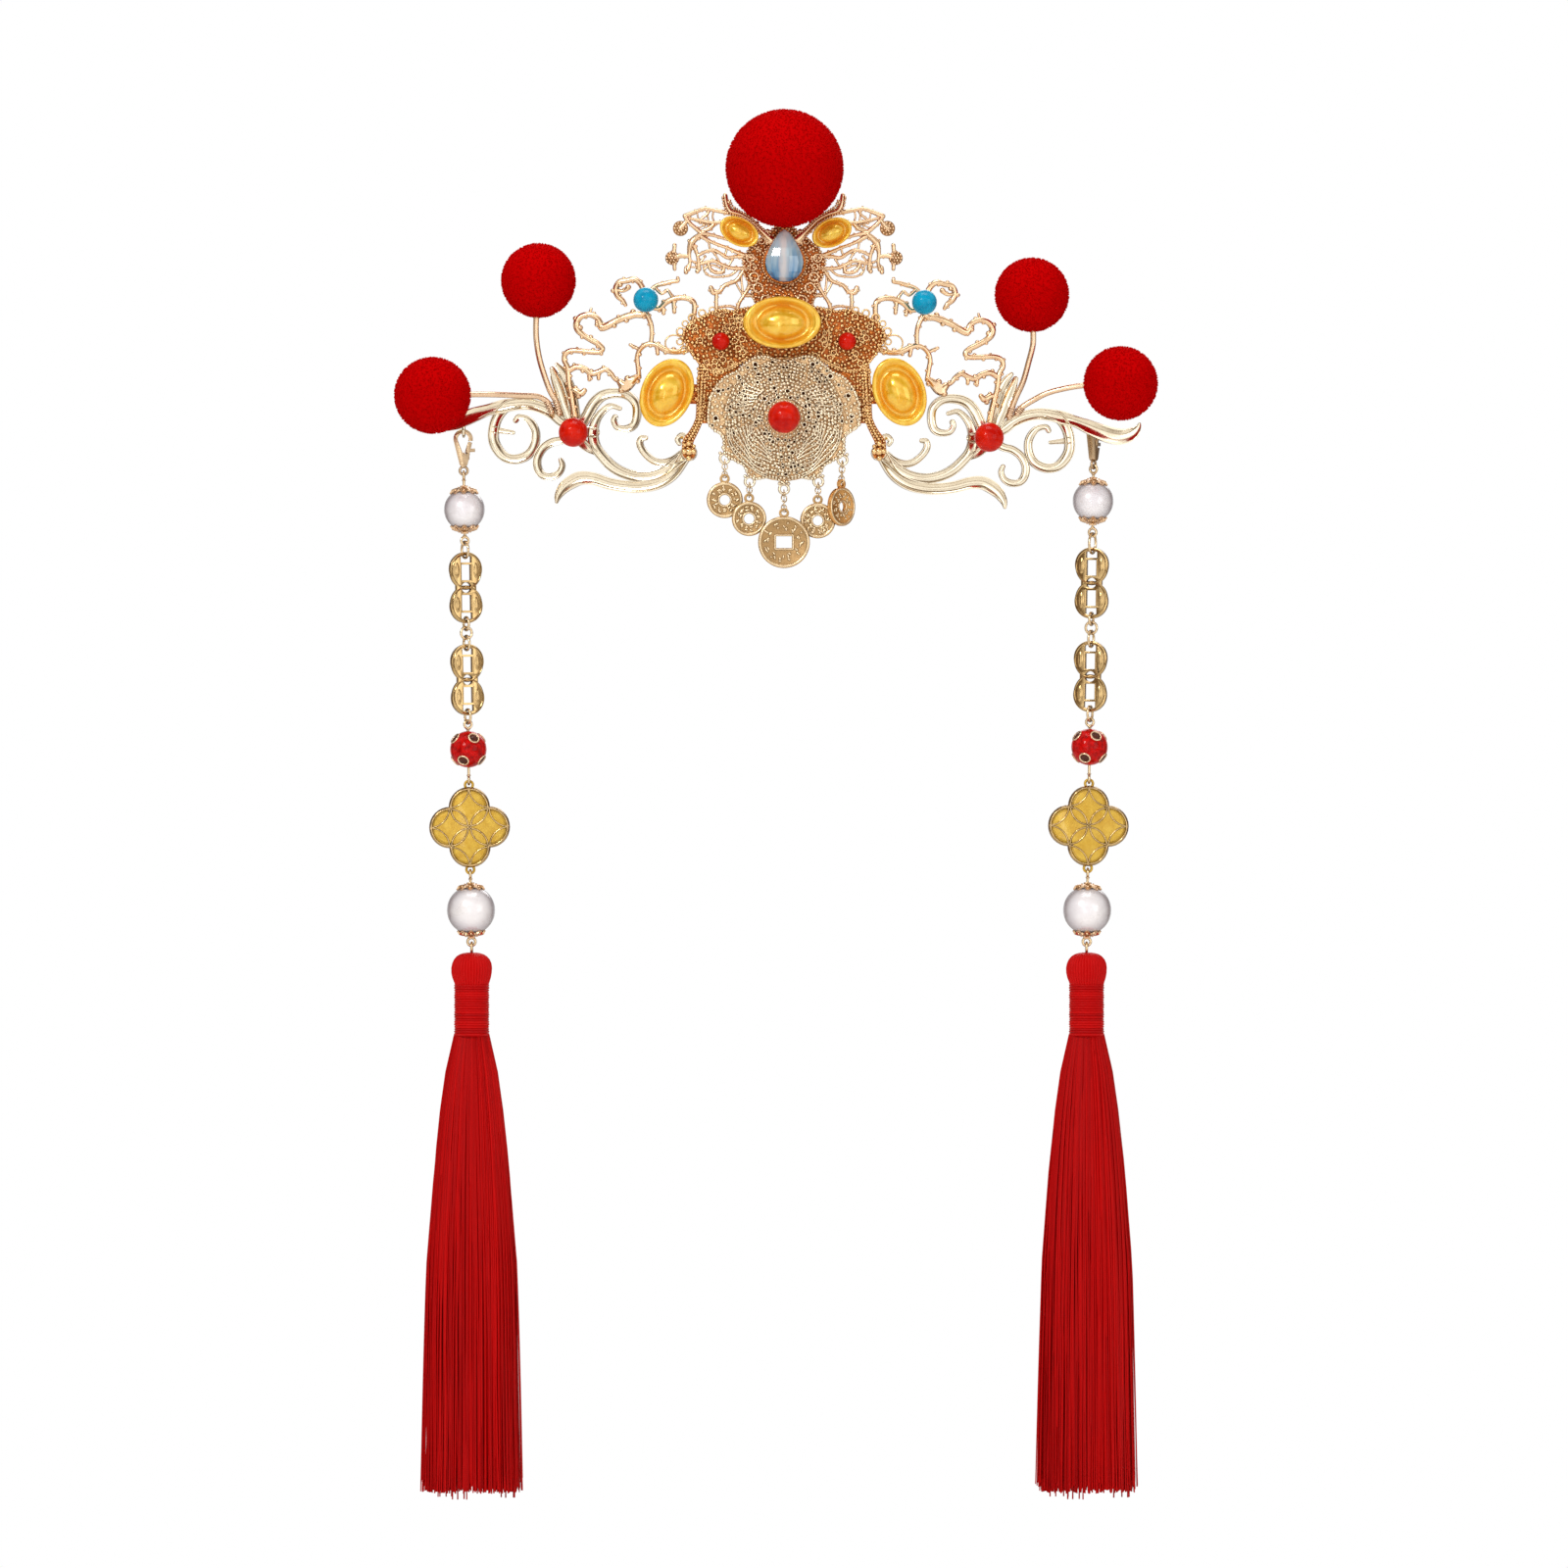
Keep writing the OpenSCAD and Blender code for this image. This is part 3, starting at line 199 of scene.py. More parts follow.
# %% [markdown]
# ## Helpers for the hands
#
# Blender's operators act on what is selected, so each step first selects exactly the
# object that it is about. A finished piece gets its scale and turn applied, smooth faces
# with the real corners kept sharp, its finish, and the body that it rides on. Its name is
# that of the frame's node that it replaces, with one word added.


# %% Selecting and finishing
def take(*objects):
    bpy.ops.object.select_all(action="DESELECT")
    for obj in objects:
        obj.select_set(True)
    bpy.context.view_layer.objects.active = objects[-1]


def made_by(operator, **options):
    """Runs one of Blender's operators that add an object."""
    bpy.ops.object.select_all(action="DESELECT")
    operator(**options)
    return bpy.context.object


@contextmanager
def editing(obj):
    """Edit mode, with the whole mesh selected."""
    take(obj)
    bpy.ops.object.mode_set(mode="EDIT")
    bpy.ops.mesh.select_all(action="SELECT")
    yield
    bpy.ops.object.mode_set(mode="OBJECT")


def settle(obj):
    take(obj)
    bpy.ops.object.transform_apply(location=True, rotation=True, scale=True)
    return obj


def weld(obj, gap):
    with editing(obj):
        bpy.ops.mesh.remove_doubles(threshold=gap)
        bpy.ops.mesh.normals_make_consistent(inside=False)
    return obj


def join(objects):
    take(*objects)
    if len(objects) > 1:
        bpy.ops.object.join()
    return bpy.context.object


def place(obj, matrix):
    """Puts a piece where the matrix says, in its mesh."""
    obj.matrix_world = matrix @ obj.matrix_world
    settle(obj)
    if matrix.determinant() < 0:
        weld(obj, 0.000001)
    return obj


def copy_of(obj):
    twin = obj.copy()
    twin.data = obj.data.copy()
    bpy.context.collection.objects.link(twin)
    return twin


def scattered(shape, spots):
    """Copies a small shape to many places and joins the copies."""
    twins = []
    for matrix in spots:
        twin = copy_of(shape)
        twin.matrix_world = matrix @ shape.matrix_world
        twins.append(twin)
    bpy.data.objects.remove(shape)
    return settle(join(twins))


def put_away(*spares):
    for spare in spares:
        bpy.data.objects.remove(spare)


def finish(obj, name, material, angle, body="crown", node=None):
    settle(obj)
    obj.name = obj.data.name = name
    obj.data.materials.clear()
    obj.data.materials.append(material)
    take(obj)
    bpy.ops.object.shade_smooth_by_angle(angle=radians(angle))
    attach(obj, body)
    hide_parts(node or name.rsplit("_", 1)[0])
    print(name, len(obj.data.polygons), "faces")


def bevelled(node, width, segments=2, angle=35):
    """A merged copy of a frame node's mesh, with rounded edges."""
    obj = bpy.data.objects.new(node + "_work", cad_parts[node].data.copy())
    bpy.context.collection.objects.link(obj)
    with editing(obj):
        bpy.ops.mesh.remove_doubles(threshold=0.000002)
        bpy.ops.mesh.dissolve_limited(angle_limit=radians(0.5))
    bevel = obj.modifiers.new("edge", "BEVEL")
    bevel.width = width * MM
    bevel.segments = segments
    bevel.limit_method = "ANGLE"
    bevel.angle_limit = radians(angle)
    take(obj)
    bpy.ops.object.modifier_apply(modifier=bevel.name)
    return obj


# %% [markdown]
# Places are matrices. They are given in mm and in degrees, and a whole chain of them can
# be multiplied. What is drawn flat on the bench is stood up to face the front.


# %% Places
def at(x, y, z=0.0, size=1.0):
    return Matrix.Translation((x * MM, y * MM, z * MM)) @ Matrix.Scale(size, 4)


def turn_by(angle, axis):
    return Matrix.Rotation(radians(angle), 4, axis)


def facing(direction, track="Z"):
    return direction.to_track_quat(track, "Y").to_matrix().to_4x4()


def around_circle(count, radius=1.0, start=0.0):
    """Evenly spaced (x, y) places on a circle."""
    angles = [start + tau * k / count for k in range(count)]
    return [(radius * cos(a), radius * sin(a)) for a in angles]


UPRIGHT = turn_by(90, "X")
MIRROR = Matrix.Diagonal((-1, 1, 1, 1))
print("places ready")

# %% [markdown]
# A lathe turns ingots, bead caps and tassel heads. By hand: one vertex is extruded along
# the profile in edit mode, then Spin carries it round. Merging the doubles closes the
# poles and the seam.


# %% The lathe
def turned(profile, steps=48):
    """profile is a list of (radius, height) in mm; it turns about Z."""
    obj = made_by(bpy.ops.mesh.primitive_plane_add, size=0.001)
    with editing(obj):
        bpy.ops.mesh.merge(type="CENTER")
        last = Vector((0, 0, 0))
        for i, (radius, height) in enumerate(profile):
            here = Vector((radius * MM, 0, height * MM))
            if i == 0:
                bpy.ops.transform.translate(value=here)
            else:
                bpy.ops.mesh.extrude_vertices_move(TRANSFORM_OT_translate={"value": here - last})
            last = here
        bpy.ops.mesh.select_all(action="SELECT")
        bpy.ops.mesh.spin(steps=steps, angle=tau, center=(0, 0, 0), axis=(0, 0, 1))
    return weld(obj, 0.000002)


# %% [markdown]
# Bent wire and cast strokes are curves. A stroke is a list of rows, each with its place
# and its width in mm. A smooth line runs through the rows, the width goes into the
# curve's radius, and a section is swept along it. The drawing is flat on the bench
# (x, y), with the section's top towards +Z.


# %% Strokes
def between(a, b, c, d, t):
    return [
        0.5 * (2 * q + (r - p) * t + (2 * p - 5 * q + 4 * r - s) * t * t + (3 * q - p - 3 * r + s) * t ** 3)
        for p, q, r, s in zip(a, b, c, d)
    ]


def smooth_rows(rows, steps):
    last = len(rows) - 1
    path = []
    for i in range(last):
        for k in range(steps):
            path.append(between(rows[max(i - 1, 0)], rows[i], rows[i + 1], rows[min(i + 2, last)], k / steps))
    return path + [list(rows[last])]


def new_curve(dimensions):
    obj = made_by(bpy.ops.curve.primitive_bezier_curve_add)
    obj.data.splines.clear()
    obj.data.dimensions = dimensions
    return obj


def add_line(curve, rows, closed=False):
    """Rows are (x, y) or (x, y, z) in mm."""
    spline = curve.splines.new("POLY")
    spline.points.add(len(rows) - 1)
    for point, row in zip(spline.points, rows):
        point.co = (*[v * MM for v in row], *[0] * (3 - len(row)), 1)
    spline.use_cyclic_u = closed
    return spline.points


def as_mesh(obj):
    take(obj)
    bpy.ops.object.convert(target="MESH")
    return bpy.context.object


def section(points):
    """The points run counter-clockwise, and backwards here: then swept faces point outwards."""
    obj = new_curve("2D")
    add_line(obj.data, points[::-1], closed=True)
    return obj


def swept(strokes, outline, steps=4):
    """Strokes are rows of (x, y, width) on the bench, or (x, y, z, width) in space."""
    obj = new_curve("2D" if len(strokes[0][0]) == 3 else "3D")
    obj.data.bevel_mode = "OBJECT"
    obj.data.bevel_object = outline
    obj.data.use_fill_caps = True
    for rows in strokes:
        path = smooth_rows(rows, steps)
        for point, row in zip(add_line(obj.data, [row[:-1] for row in path]), path):
            point.radius = row[-1] / 2
    return as_mesh(obj)


wire, fine_wire, strand = [section(around_circle(sides)) for sides in (8, 6, 3)]
print("sections ready")


# %% [markdown]
# Three small parts are used over and over: a closed ring of wire, a ball, and a plain
# round rod.


# %% Rings, balls and rods
def ring(radius, thickness, where=(0, 0, 0), turn=0.0, tilt=90.0, sides=28):
    """A ring that stands upright facing the front, turned about Z. Tilt 0 lays it flat."""
    obj = made_by(
        bpy.ops.mesh.primitive_torus_add,
        major_radius=radius * MM, minor_radius=thickness / 2 * MM, major_segments=sides, minor_segments=8,
    )
    return place(obj, at(*where) @ turn_by(turn, "Z") @ turn_by(tilt, "X"))


def ball(radius, where=(0, 0, 0), segments=8):
    return made_by(
        bpy.ops.mesh.primitive_uv_sphere_add,
        segments=segments, ring_count=max(5, segments // 2 + 1), radius=radius * MM, location=Vector(where) * MM,
    )


def rod(radius, length, where=(0, 0, 0), sides=12):
    return made_by(
        bpy.ops.mesh.primitive_cylinder_add,
        vertices=sides, radius=radius * MM, depth=length * MM, location=Vector(where) * MM,
    )


print("helpers ready")

# %% [markdown]
# ## Finishes
#
# Every gold here is plated brass, but no two pieces have the same plating. What they
# share is colour that wanders a little, painted shade in their hollows, and fine
# scratches that make the shine uneven. That effect is one node group, placed in each
# metal with its own values. Each gold also gets a painted dark rim towards its outline.

# %% A shared group: plating, with painted shade in hollows
plating = bpy.data.node_groups.new("plating", "ShaderNodeTree")
for label, kind, value in (
    ("Colour", "Color", (0.8, 0.6, 0.3, 1)), ("Hollow Colour", "Color", (0.2, 0.1, 0.04, 1)),
    ("Hollow", "Float", 0.6), ("Roughness", "Float", 0.2), ("Scratches", "Float", 0.1),
):
    socket = plating.interface.new_socket(label, in_out="INPUT", socket_type="NodeSocket" + kind)
    socket.default_value = value
for label, kind in (("Colour", "Color"), ("Roughness", "Float"), ("Height", "Float")):
    plating.interface.new_socket(label, in_out="OUTPUT", socket_type="NodeSocket" + kind)
given = plating.nodes.new("NodeGroupInput").outputs
cloud, grain = noise_in(plating, 260, 2), noise_in(plating, 2600, 2)
# Painted shade: the colour darkens towards Hollow Colour where ambient occlusion finds a hollow.
depth = math_in(plating, "MULTIPLY", hollow_shade_in(plating, 0.9, 0.25, 0.85), given["Hollow"])
shade = mix_in(plating, spread(plating, cloud, 0.3, 0.7, 0.0, 0.22), given["Colour"], given["Hollow Colour"])
uneven = math_in(plating, "MULTIPLY", spread(plating, grain, 0.3, 0.7), given["Scratches"])
rough = math_in(plating, "ADD", given["Roughness"], uneven)
set_inputs(plating, plating.nodes.new("NodeGroupOutput"), {
    "Colour": mix_in(plating, depth, shade, given["Hollow Colour"]),
    "Roughness": math_in(plating, "ADD", rough, math_in(plating, "MULTIPLY", depth, 0.3)),
    "Height": grain,
})


def gold(name, colour, hollow_colour, hollow, roughness, scratches, pattern=None, bump=0.2):
    material, tree, shader = new_material(name)
    plated = node_in(tree, "Group", {}, node_tree=plating)
    set_inputs(tree, plated, {
        "Colour": colour, "Hollow Colour": hollow_colour, "Hollow": hollow,
        "Roughness": roughness, "Scratches": scratches,
    })
    # Painted dark rim: the colour darkens towards the outline, where the surface is seen side-on.
    outline = painted_rim_shade_in(tree, 0.5, 0.3, 0.8, 0.85)
    base = mix_in(tree, outline, plated.outputs["Colour"], [v * 0.6 for v in hollow_colour])
    height, distance = plated.outputs["Height"], 0.02
    if pattern:
        height, gap_shade, bump, distance = pattern(tree)
        # Painted shade in the gaps between the pattern's granules.
        base = mix_in(tree, gap_shade, base, hollow_colour)
    set_inputs(tree, shader, {
        "Metallic": 1.0, "Base Color": base, "Roughness": plated.outputs["Roughness"],
        "Normal": bump_in(tree, height, bump, distance),
    })
    return material


print("plating group ready")

# %% [markdown]
# The middle of the crown is granulated: tiny balls of metal fused close together, with
# painted shade in the gaps between them. The big ones are real balls, modelled further
# down. The small ones between them are a pattern of cells that pushes the surface up in
# rounds and paints shade into the gaps between the cells.
#
# Each gold below has its colour, the colour of its painted shade, how strongly that shade
# shows in hollows, its roughness, and how much scratches add to that.


# %% Granulated and plain golds
def granules_pattern(size, gap_shade_amount):
    def pattern(tree):
        cells = node_in(tree, "TexVoronoi", {"Vector": place_in(tree), "Scale": 1000 / size}).outputs["Distance"]
        height = spread(tree, cells, 0.0, 0.62, 1.0, 0.0)
        # The mask paints shade into the gaps between the cells.
        gap_shade = spread(tree, cells, 0.42, 0.7, 0.0, gap_shade_amount)
        return height, gap_shade, 0.9, size * 0.45

    return pattern


coarse_granules, fine_granules = granules_pattern(0.7, 0.7), granules_pattern(0.6, 0.45)
champagne = gold("champagne gold", (0.97, 0.86, 0.66), (0.36, 0.23, 0.11), 0.6, 0.12, 0.08)
rose = gold("rose gold", (1.0, 0.72, 0.45), (0.38, 0.14, 0.05), 0.7, 0.2, 0.1)
rose_granules = gold(
    "granulated rose gold", (0.86, 0.31, 0.07), (0.30, 0.05, 0.015), 0.7, 0.3, 0.15, coarse_granules
)
pale_rose = gold("pale rose gold", (0.93, 0.68, 0.46), (0.42, 0.2, 0.1), 0.65, 0.2, 0.1)
dome_gold = gold("granulated pale gold", (1.0, 0.72, 0.42), (0.36, 0.18, 0.07), 0.55, 0.28, 0.12, fine_granules)
dome_wire_gold = gold("pale gold wire", (1.0, 0.90, 0.68), (0.46, 0.24, 0.10), 0.6, 0.22, 0.1)
bright = gold("bright yellow gold", (0.66, 0.46, 0.21), (0.18, 0.08, 0.02), 0.95, 0.17, 0.06, bump=0.05)
brass = gold("antique brass", (0.95, 0.74, 0.46), (0.2, 0.10, 0.04), 0.9, 0.2, 0.12)
coin_field = gold("worn coin field", (0.55, 0.35, 0.16), (0.14, 0.07, 0.02), 0.95, 0.34, 0.3)
disc_gold = gold("dark rose gold", (0.34, 0.17, 0.07), (0.12, 0.05, 0.02), 0.9, 0.3, 0.15)
crust_gold = gold("granules of rose gold", (1.0, 0.69, 0.33), (0.40, 0.13, 0.04), 0.7, 0.2, 0.1)
burnt_gold = gold("burnt gold", (1.0, 0.56, 0.20), (0.36, 0.15, 0.04), 0.7, 0.24, 0.12)
clasp_gold = gold("worn clasp gold", (0.66, 0.48, 0.30), (0.16, 0.08, 0.04), 0.9, 0.2, 0.1)
steel = gold("comb steel", (0.72, 0.71, 0.69), (0.2, 0.19, 0.18), 0.4, 0.3, 0.12)
print("golds ready")

# %% [markdown]
# Glossy pieces are dyed, lacquered or polished. Each has a body colour that drifts, and
# a clear coat. The ingots are resin with a golden lacquer, and painted shade turns their
# groove deep orange.


# %% Beads, pearls and lacquer
def glossy(
    name, colour, second, scale, roughness, coat, metallic=0.0, contrast=(0.35, 0.65), hollow_colour=None,
    swirl=0.0, bumpy=0.12, shine=0.5,
):
    material, tree, shader = new_material(name)
    cloud = noise_in(tree, scale, 4, swirl)
    base = mix_in(tree, spread(tree, cloud, *contrast), colour, second)
    if hollow_colour:
        # Painted shade: the colour darkens towards hollow_colour in hollows.
        base = mix_in(tree, hollow_shade_in(tree, 3.2, 0.35, 0.9), base, hollow_colour)
    set_inputs(tree, shader, {
        "Base Color": base, "Roughness": spread(tree, cloud, 0.3, 0.7, roughness, roughness + 0.06),
        "Metallic": metallic, "Specular IOR Level": shine, "Coat Weight": coat, "Coat Roughness": 0.06,
        "Normal": bump_in(tree, cloud, bumpy, 0.05),
    })
    return material


coral = glossy("coral", (0.70, 0.012, 0.001), (0.46, 0.002, 0.0), 260, 0.3, 0.22, shine=0.06, bumpy=0.03)
turquoise = glossy(
    "turquoise", (0.0, 0.34, 0.56), (0.0, 0.22, 0.4), 420, 0.3, 0.3, contrast=(0.45, 0.7), shine=0.08, bumpy=0.05
)
# The ingots' hollow colour is painted shade, deep orange in the groove.
lacquer = glossy(
    "golden lacquer", (0.88, 0.46, 0.01), (0.96, 0.62, 0.06), 150, 0.2, 0.9, 0.35, (0.4, 0.65), (0.74, 0.22, 0.0), 2.5
)
mustard = glossy("mustard enamel", (0.62, 0.36, 0.03), (0.74, 0.48, 0.06), 500, 0.35, 0.4, 0.25, shine=0.25)
red_enamel = glossy("red enamel", (0.64, 0.004, 0.003), (0.30, 0.001, 0.001), 900, 0.25, 0.2, shine=0.04)
dark_enamel = glossy("dark enamel", (0.11, 0.02, 0.008), (0.05, 0.01, 0.004), 900, 0.4, 0.3, shine=0.15)
# Painted shade: a dark disc stands in for the shaded inside of each pin-hole.
pin_hole_shade = glossy("painted pin-hole shade", (0.05, 0.018, 0.006), (0.03, 0.01, 0.004), 900, 0.8, 0.0, shine=0.0)
print("glossy finishes ready")

# %% [markdown]
# A pearl is built of thin layers. Its colour is painted pale where it faces you and
# grey-lilac towards its outline, a painted dark rim, and it has a soft, wide highlight.

# %% Pearl
pearl, tree, shader = new_material("pearl")
cloud = noise_in(tree, 130, 1)
layers = mix_in(tree, spread(tree, cloud, 0.2, 0.8), (0.95, 0.92, 0.92), (0.88, 0.86, 0.92))
# Painted dark rim: the colour turns grey-lilac towards the outline.
set_inputs(tree, shader, {
    "Base Color": mix_in(tree, painted_rim_shade_in(tree, 0.45, 0.08, 0.72), layers, (0.20, 0.17, 0.20)),
    "Roughness": spread(tree, cloud, 0.3, 0.7, 0.26, 0.32),
    "Metallic": 0.1, "Coat Weight": 0.5, "Coat Roughness": 0.12,
})
print("pearl ready")

# %% [markdown]
# The crystal is clear glass over a blue foil: pale at the top, deeper blue at its round
# end, with one pale streak down the middle. The colour goes into the glass itself.

# %% Crystal
crystal_glass, tree, shader = new_material("pale blue crystal")
where = place_in(tree)
height = node_in(tree, "SeparateXYZ", {0: where}).outputs
drawn_out = node_in(tree, "Mapping", {"Vector": where, "Scale": (0.8, 0.8, 0.1)}).outputs["Vector"]
flecks = noise_in(tree, 900, 2, vector=drawn_out)
rise = math_in(tree, "ADD", spread(tree, height["Z"], 0.0285, 0.037), spread(tree, flecks, 0.35, 0.65, -0.3, 0.3))
wavy = spread(tree, flecks, 0.3, 0.7, -0.0006, 0.0006)
across = math_in(tree, "ADD", math_in(tree, "ABSOLUTE", height["X"]), wavy)
stone_colour = mix_in(tree, rise, (0.01, 0.20, 0.46), (0.46, 0.62, 0.72))
stone_colour = mix_in(tree, spread(tree, across, 0.0003, 0.0016, 0.75, 0.0), stone_colour, (0.86, 0.78, 0.74))
# Painted dark rim: the colour turns deep blue towards the outline.
set_inputs(tree, shader, {
    "Base Color": mix_in(tree, painted_rim_shade_in(tree, 0.5, 0.35, 0.95), stone_colour, (0.02, 0.10, 0.26)),
    "Roughness": 0.03, "IOR": 1.55, "Transmission Weight": 0.15, "Coat Weight": 1.0,
})
print("crystal ready")

# %% [markdown]
# Yarn and silk are many threads, each a slightly different red. Every thread is its own
# loose piece of mesh, so one number for each piece shifts its colour. The pompoms are
# matt and deep, with a soft sheen at the rim; the silk keeps a long highlight.


# %% Yarn and silk
def threads(name, dark, light, roughness, vary, shine):
    material, tree, shader = new_material(name)
    island = node_in(tree, "NewGeometry", {}).outputs["Random Per Island"]
    patch = math_in(tree, "MULTIPLY", noise_in(tree, 90, 2), 1 - vary)
    own = math_in(tree, "ADD", math_in(tree, "MULTIPLY", island, vary), patch)
    set_inputs(tree, shader, {
        "Base Color": mix_in(tree, own, dark, light), "Roughness": spread(tree, own, 0, 1, roughness, roughness + 0.12),
        "Sheen Weight": 0.05, "Sheen Roughness": 0.4, "Sheen Tint": (1.0, 0.02, 0.02), "Specular IOR Level": shine,
    })
    return material


yarn = threads("cut red yarn", (0.44, 0.0, 0.0), (0.54, 0.0, 0.001), 0.9, 0.5, 0.02)
silk = threads("red silk", (0.36, 0.0, 0.001), (0.60, 0.002, 0.002), 0.42, 0.7, 0.1)
print("yarn and silk ready")


# %% [markdown]
# ## The two side strings
#
# Each string hangs from a lobster clasp. Its pieces sit on one thread that leans a little
# towards the face, so they are made at the origin, standing on the thread at z = 0, and
# then moved up or down it. Heights are in mm. Both strings are alike but hang at slightly
# different heights, and their coin links are turned differently.

# %% Where the strings hang
SWEEP, HINGE_X = radians(12), 24


def wing_depth(x, layer):
    return (x - HINGE_X) * tan(SWEEP) + layer / cos(SWEEP)


strings = {
    "left": dict(
        x=-82.2, y=wing_depth(82.2, 3.9) + 1.8, clasp=-19.6, lean=-0.95, clasp_turn=0, link_turn=25, upper=-29.6,
        link_upper=-49.6, middle=-61.25, link_lower=-73.25, bead=-91.1, leaf=-111.1, lower=-132.4,
    ),
    "right": dict(
        x=79.47, y=wing_depth(78.3, 3.9) + 3.67, clasp=-17.95, lean=0.82, clasp_turn=58, link_turn=-20, upper=-27.4,
        link_upper=-48.4, middle=-59.9, link_lower=-72.4, bead=-90.5, leaf=-110.75, lower=-132.4,
    ),
}
HEAD_TOP = -143.2


def on_thread(s, height=0.0, turn=0.0):
    return at(s["x"], s["y"], s["clasp"]) @ turn_by(s["lean"], "Y") @ at(0, 0, height - s["clasp"]) @ turn_by(turn, "Z")


print({side: round(s["y"], 2) for side, s in strings.items()})

# %% [markdown]
# A pearl is drilled through. It starts as a ball; the small faces round its poles are
# deleted and the edge of each hole is pulled inwards, which gives the rounded mouth of a
# real bore.


# %% Drilled beads
BORE = 1.1


def drilled_ball(diameter):
    obj = made_by(bpy.ops.mesh.primitive_uv_sphere_add, segments=48, ring_count=24, radius=diameter / 2 * MM)
    with editing(obj):
        bpy.ops.mesh.select_all(action="DESELECT")
    for vertex in obj.data.vertices:
        vertex.select = hypot(vertex.co.x, vertex.co.y) < BORE / 2 * MM
    bpy.ops.object.mode_set(mode="EDIT")
    bpy.ops.mesh.delete(type="VERT")
    bpy.ops.mesh.select_all(action="SELECT")
    bpy.ops.mesh.region_to_loop()
    for narrower, lower in ((0.8, 0.93), (0.95, 0.85)):
        bpy.ops.mesh.extrude_edges_move()
        bpy.ops.transform.resize(value=(narrower, narrower, lower))
    bpy.ops.object.mode_set(mode="OBJECT")
    return obj


pearl_sizes = {"upper": 10.5, "lower": 12.4}
for side, s in strings.items():
    for which, diameter in pearl_sizes.items():
        bead = place(drilled_ball(diameter), on_thread(s, s[which]))
        finish(bead, f"pearl_{which}_{side}_drilled", pearl, 60)

# %% [markdown]
# The red beads are enamelled: small rings of wire are laid on the ball, each filled with
# dark enamel. Four rings sit round the shoulder and four round the belly, staggered.

# %% Red beads with wire rings
RED_BEAD = 9.4
rings, fillings = [], []
for elevation, azimuth in [(38, 25 + 90 * k) for k in range(4)] + [(-38, 70 + 90 * k) for k in range(4)]:
    e, a = radians(elevation), radians(azimuth)
    outwards = Vector((cos(e) * cos(a), cos(e) * sin(a), sin(e)))
    here = Matrix.Translation(outwards * (RED_BEAD / 2 - 0.1) * MM) @ facing(outwards)
    rings.append(place(ring(1.35, 0.48, tilt=0, sides=24), here))
    fillings.append(place(turned([(0, 0.34), (0.55, 0.3), (0.95, 0.18), (1.2, -0.1), (0, -0.4)], 16), here))
rings, fillings = join(rings), join(fillings)
for side, s in strings.items():
    for part, word, finish_of in (
        (drilled_ball(RED_BEAD), "ball", red_enamel), (copy_of(rings), "rings", pale_rose),
        (copy_of(fillings), "eyes", dark_enamel),
    ):
        finish(place(part, on_thread(s, s["bead"])), f"cloisonne_bead_{side}_{word}", finish_of, 60)
put_away(rings, fillings)

# %% [markdown]
# A bead cap is a thin petalled cup over each end of a pearl. The lathe gives the cup,
# then its edge is drawn out into eight petals, and a granule is fused on each petal.


# %% Bead caps
CAP_WIDTH, PETALS = 6.4, 8


def bead_cap(pearl_d):
    inner, outer = pearl_d / 2 + 0.08, pearl_d / 2 + 0.62
    angles = [asin(CAP_WIDTH / 2 / inner) * k / 7 for k in range(1, 8)]
    cup = [(0.45, outer + 0.35), (0.95, outer + 0.3), (1.05, outer - 0.02)]
    cup += [(outer * sin(a), outer * cos(a)) for a in angles[2:]]
    cup += [(inner * sin(a), inner * cos(a)) for a in reversed(angles)]
    cap = turned(cup + [(0.45, inner)], 64)
    for vertex in cap.data.vertices:
        share = max(0.0, (hypot(vertex.co.x, vertex.co.y) / MM - 1.6) / (CAP_WIDTH / 2 - 1.6))
        petal = share * cos(PETALS * atan2(vertex.co.y, vertex.co.x))
        vertex.co.z -= 0.42 * petal * MM
        vertex.co.x *= 1 + 0.06 * petal
        vertex.co.y *= 1 + 0.06 * petal
    tip, lap = CAP_WIDTH / 2 * 0.93, 1.55
    grains = [ball(0.34, (x, y, sqrt(outer**2 - tip**2) - 0.12)) for x, y in around_circle(PETALS, tip)]
    grains += [ball(0.26, (x, y, sqrt(outer**2 - lap**2))) for x, y in around_circle(PETALS, lap, 0.39)]
    return join([cap, *grains])


caps = {which: bead_cap(diameter) for which, diameter in pearl_sizes.items()}
print("bead caps ready")

# %% [markdown]
# Jump rings and eye pins join everything. A ring is a torus that stands upright and is
# turned about the thread; two hooked rings overlap by a wire and a hair. A pin is a wire
# with a ring at each end, run through its bead.

# %% Rings, pins and caps along each thread
WIRE = 0.7
HOOK = WIRE + 0.1
EYE = 1.0
LINK_HOLE = 18.3 / 2 - 0.9 - 0.65
LEAF_EYE = 5.05 + 4.95 + 0.85


def upright(high, low, turn):
    return ring((high - low) / 2, WIRE, (0, 0, (high + low) / 2), turn)


def pin(high, low, high_turn, low_turn):
    """A wire through a bead, between the middles of its two eyes."""
    eyes = [upright(high + EYE, high - EYE, high_turn), upright(low + EYE, low - EYE, low_turn)]
    shank = rod(WIRE / 2, high - low - 1.8, (0, 0, (high + low) / 2))
    return [*eyes, shank, *[ring(0.33, 0.45, (0, 0, z), 0, 0, 14) for z in (high - 1.25, low + 1.25)]]


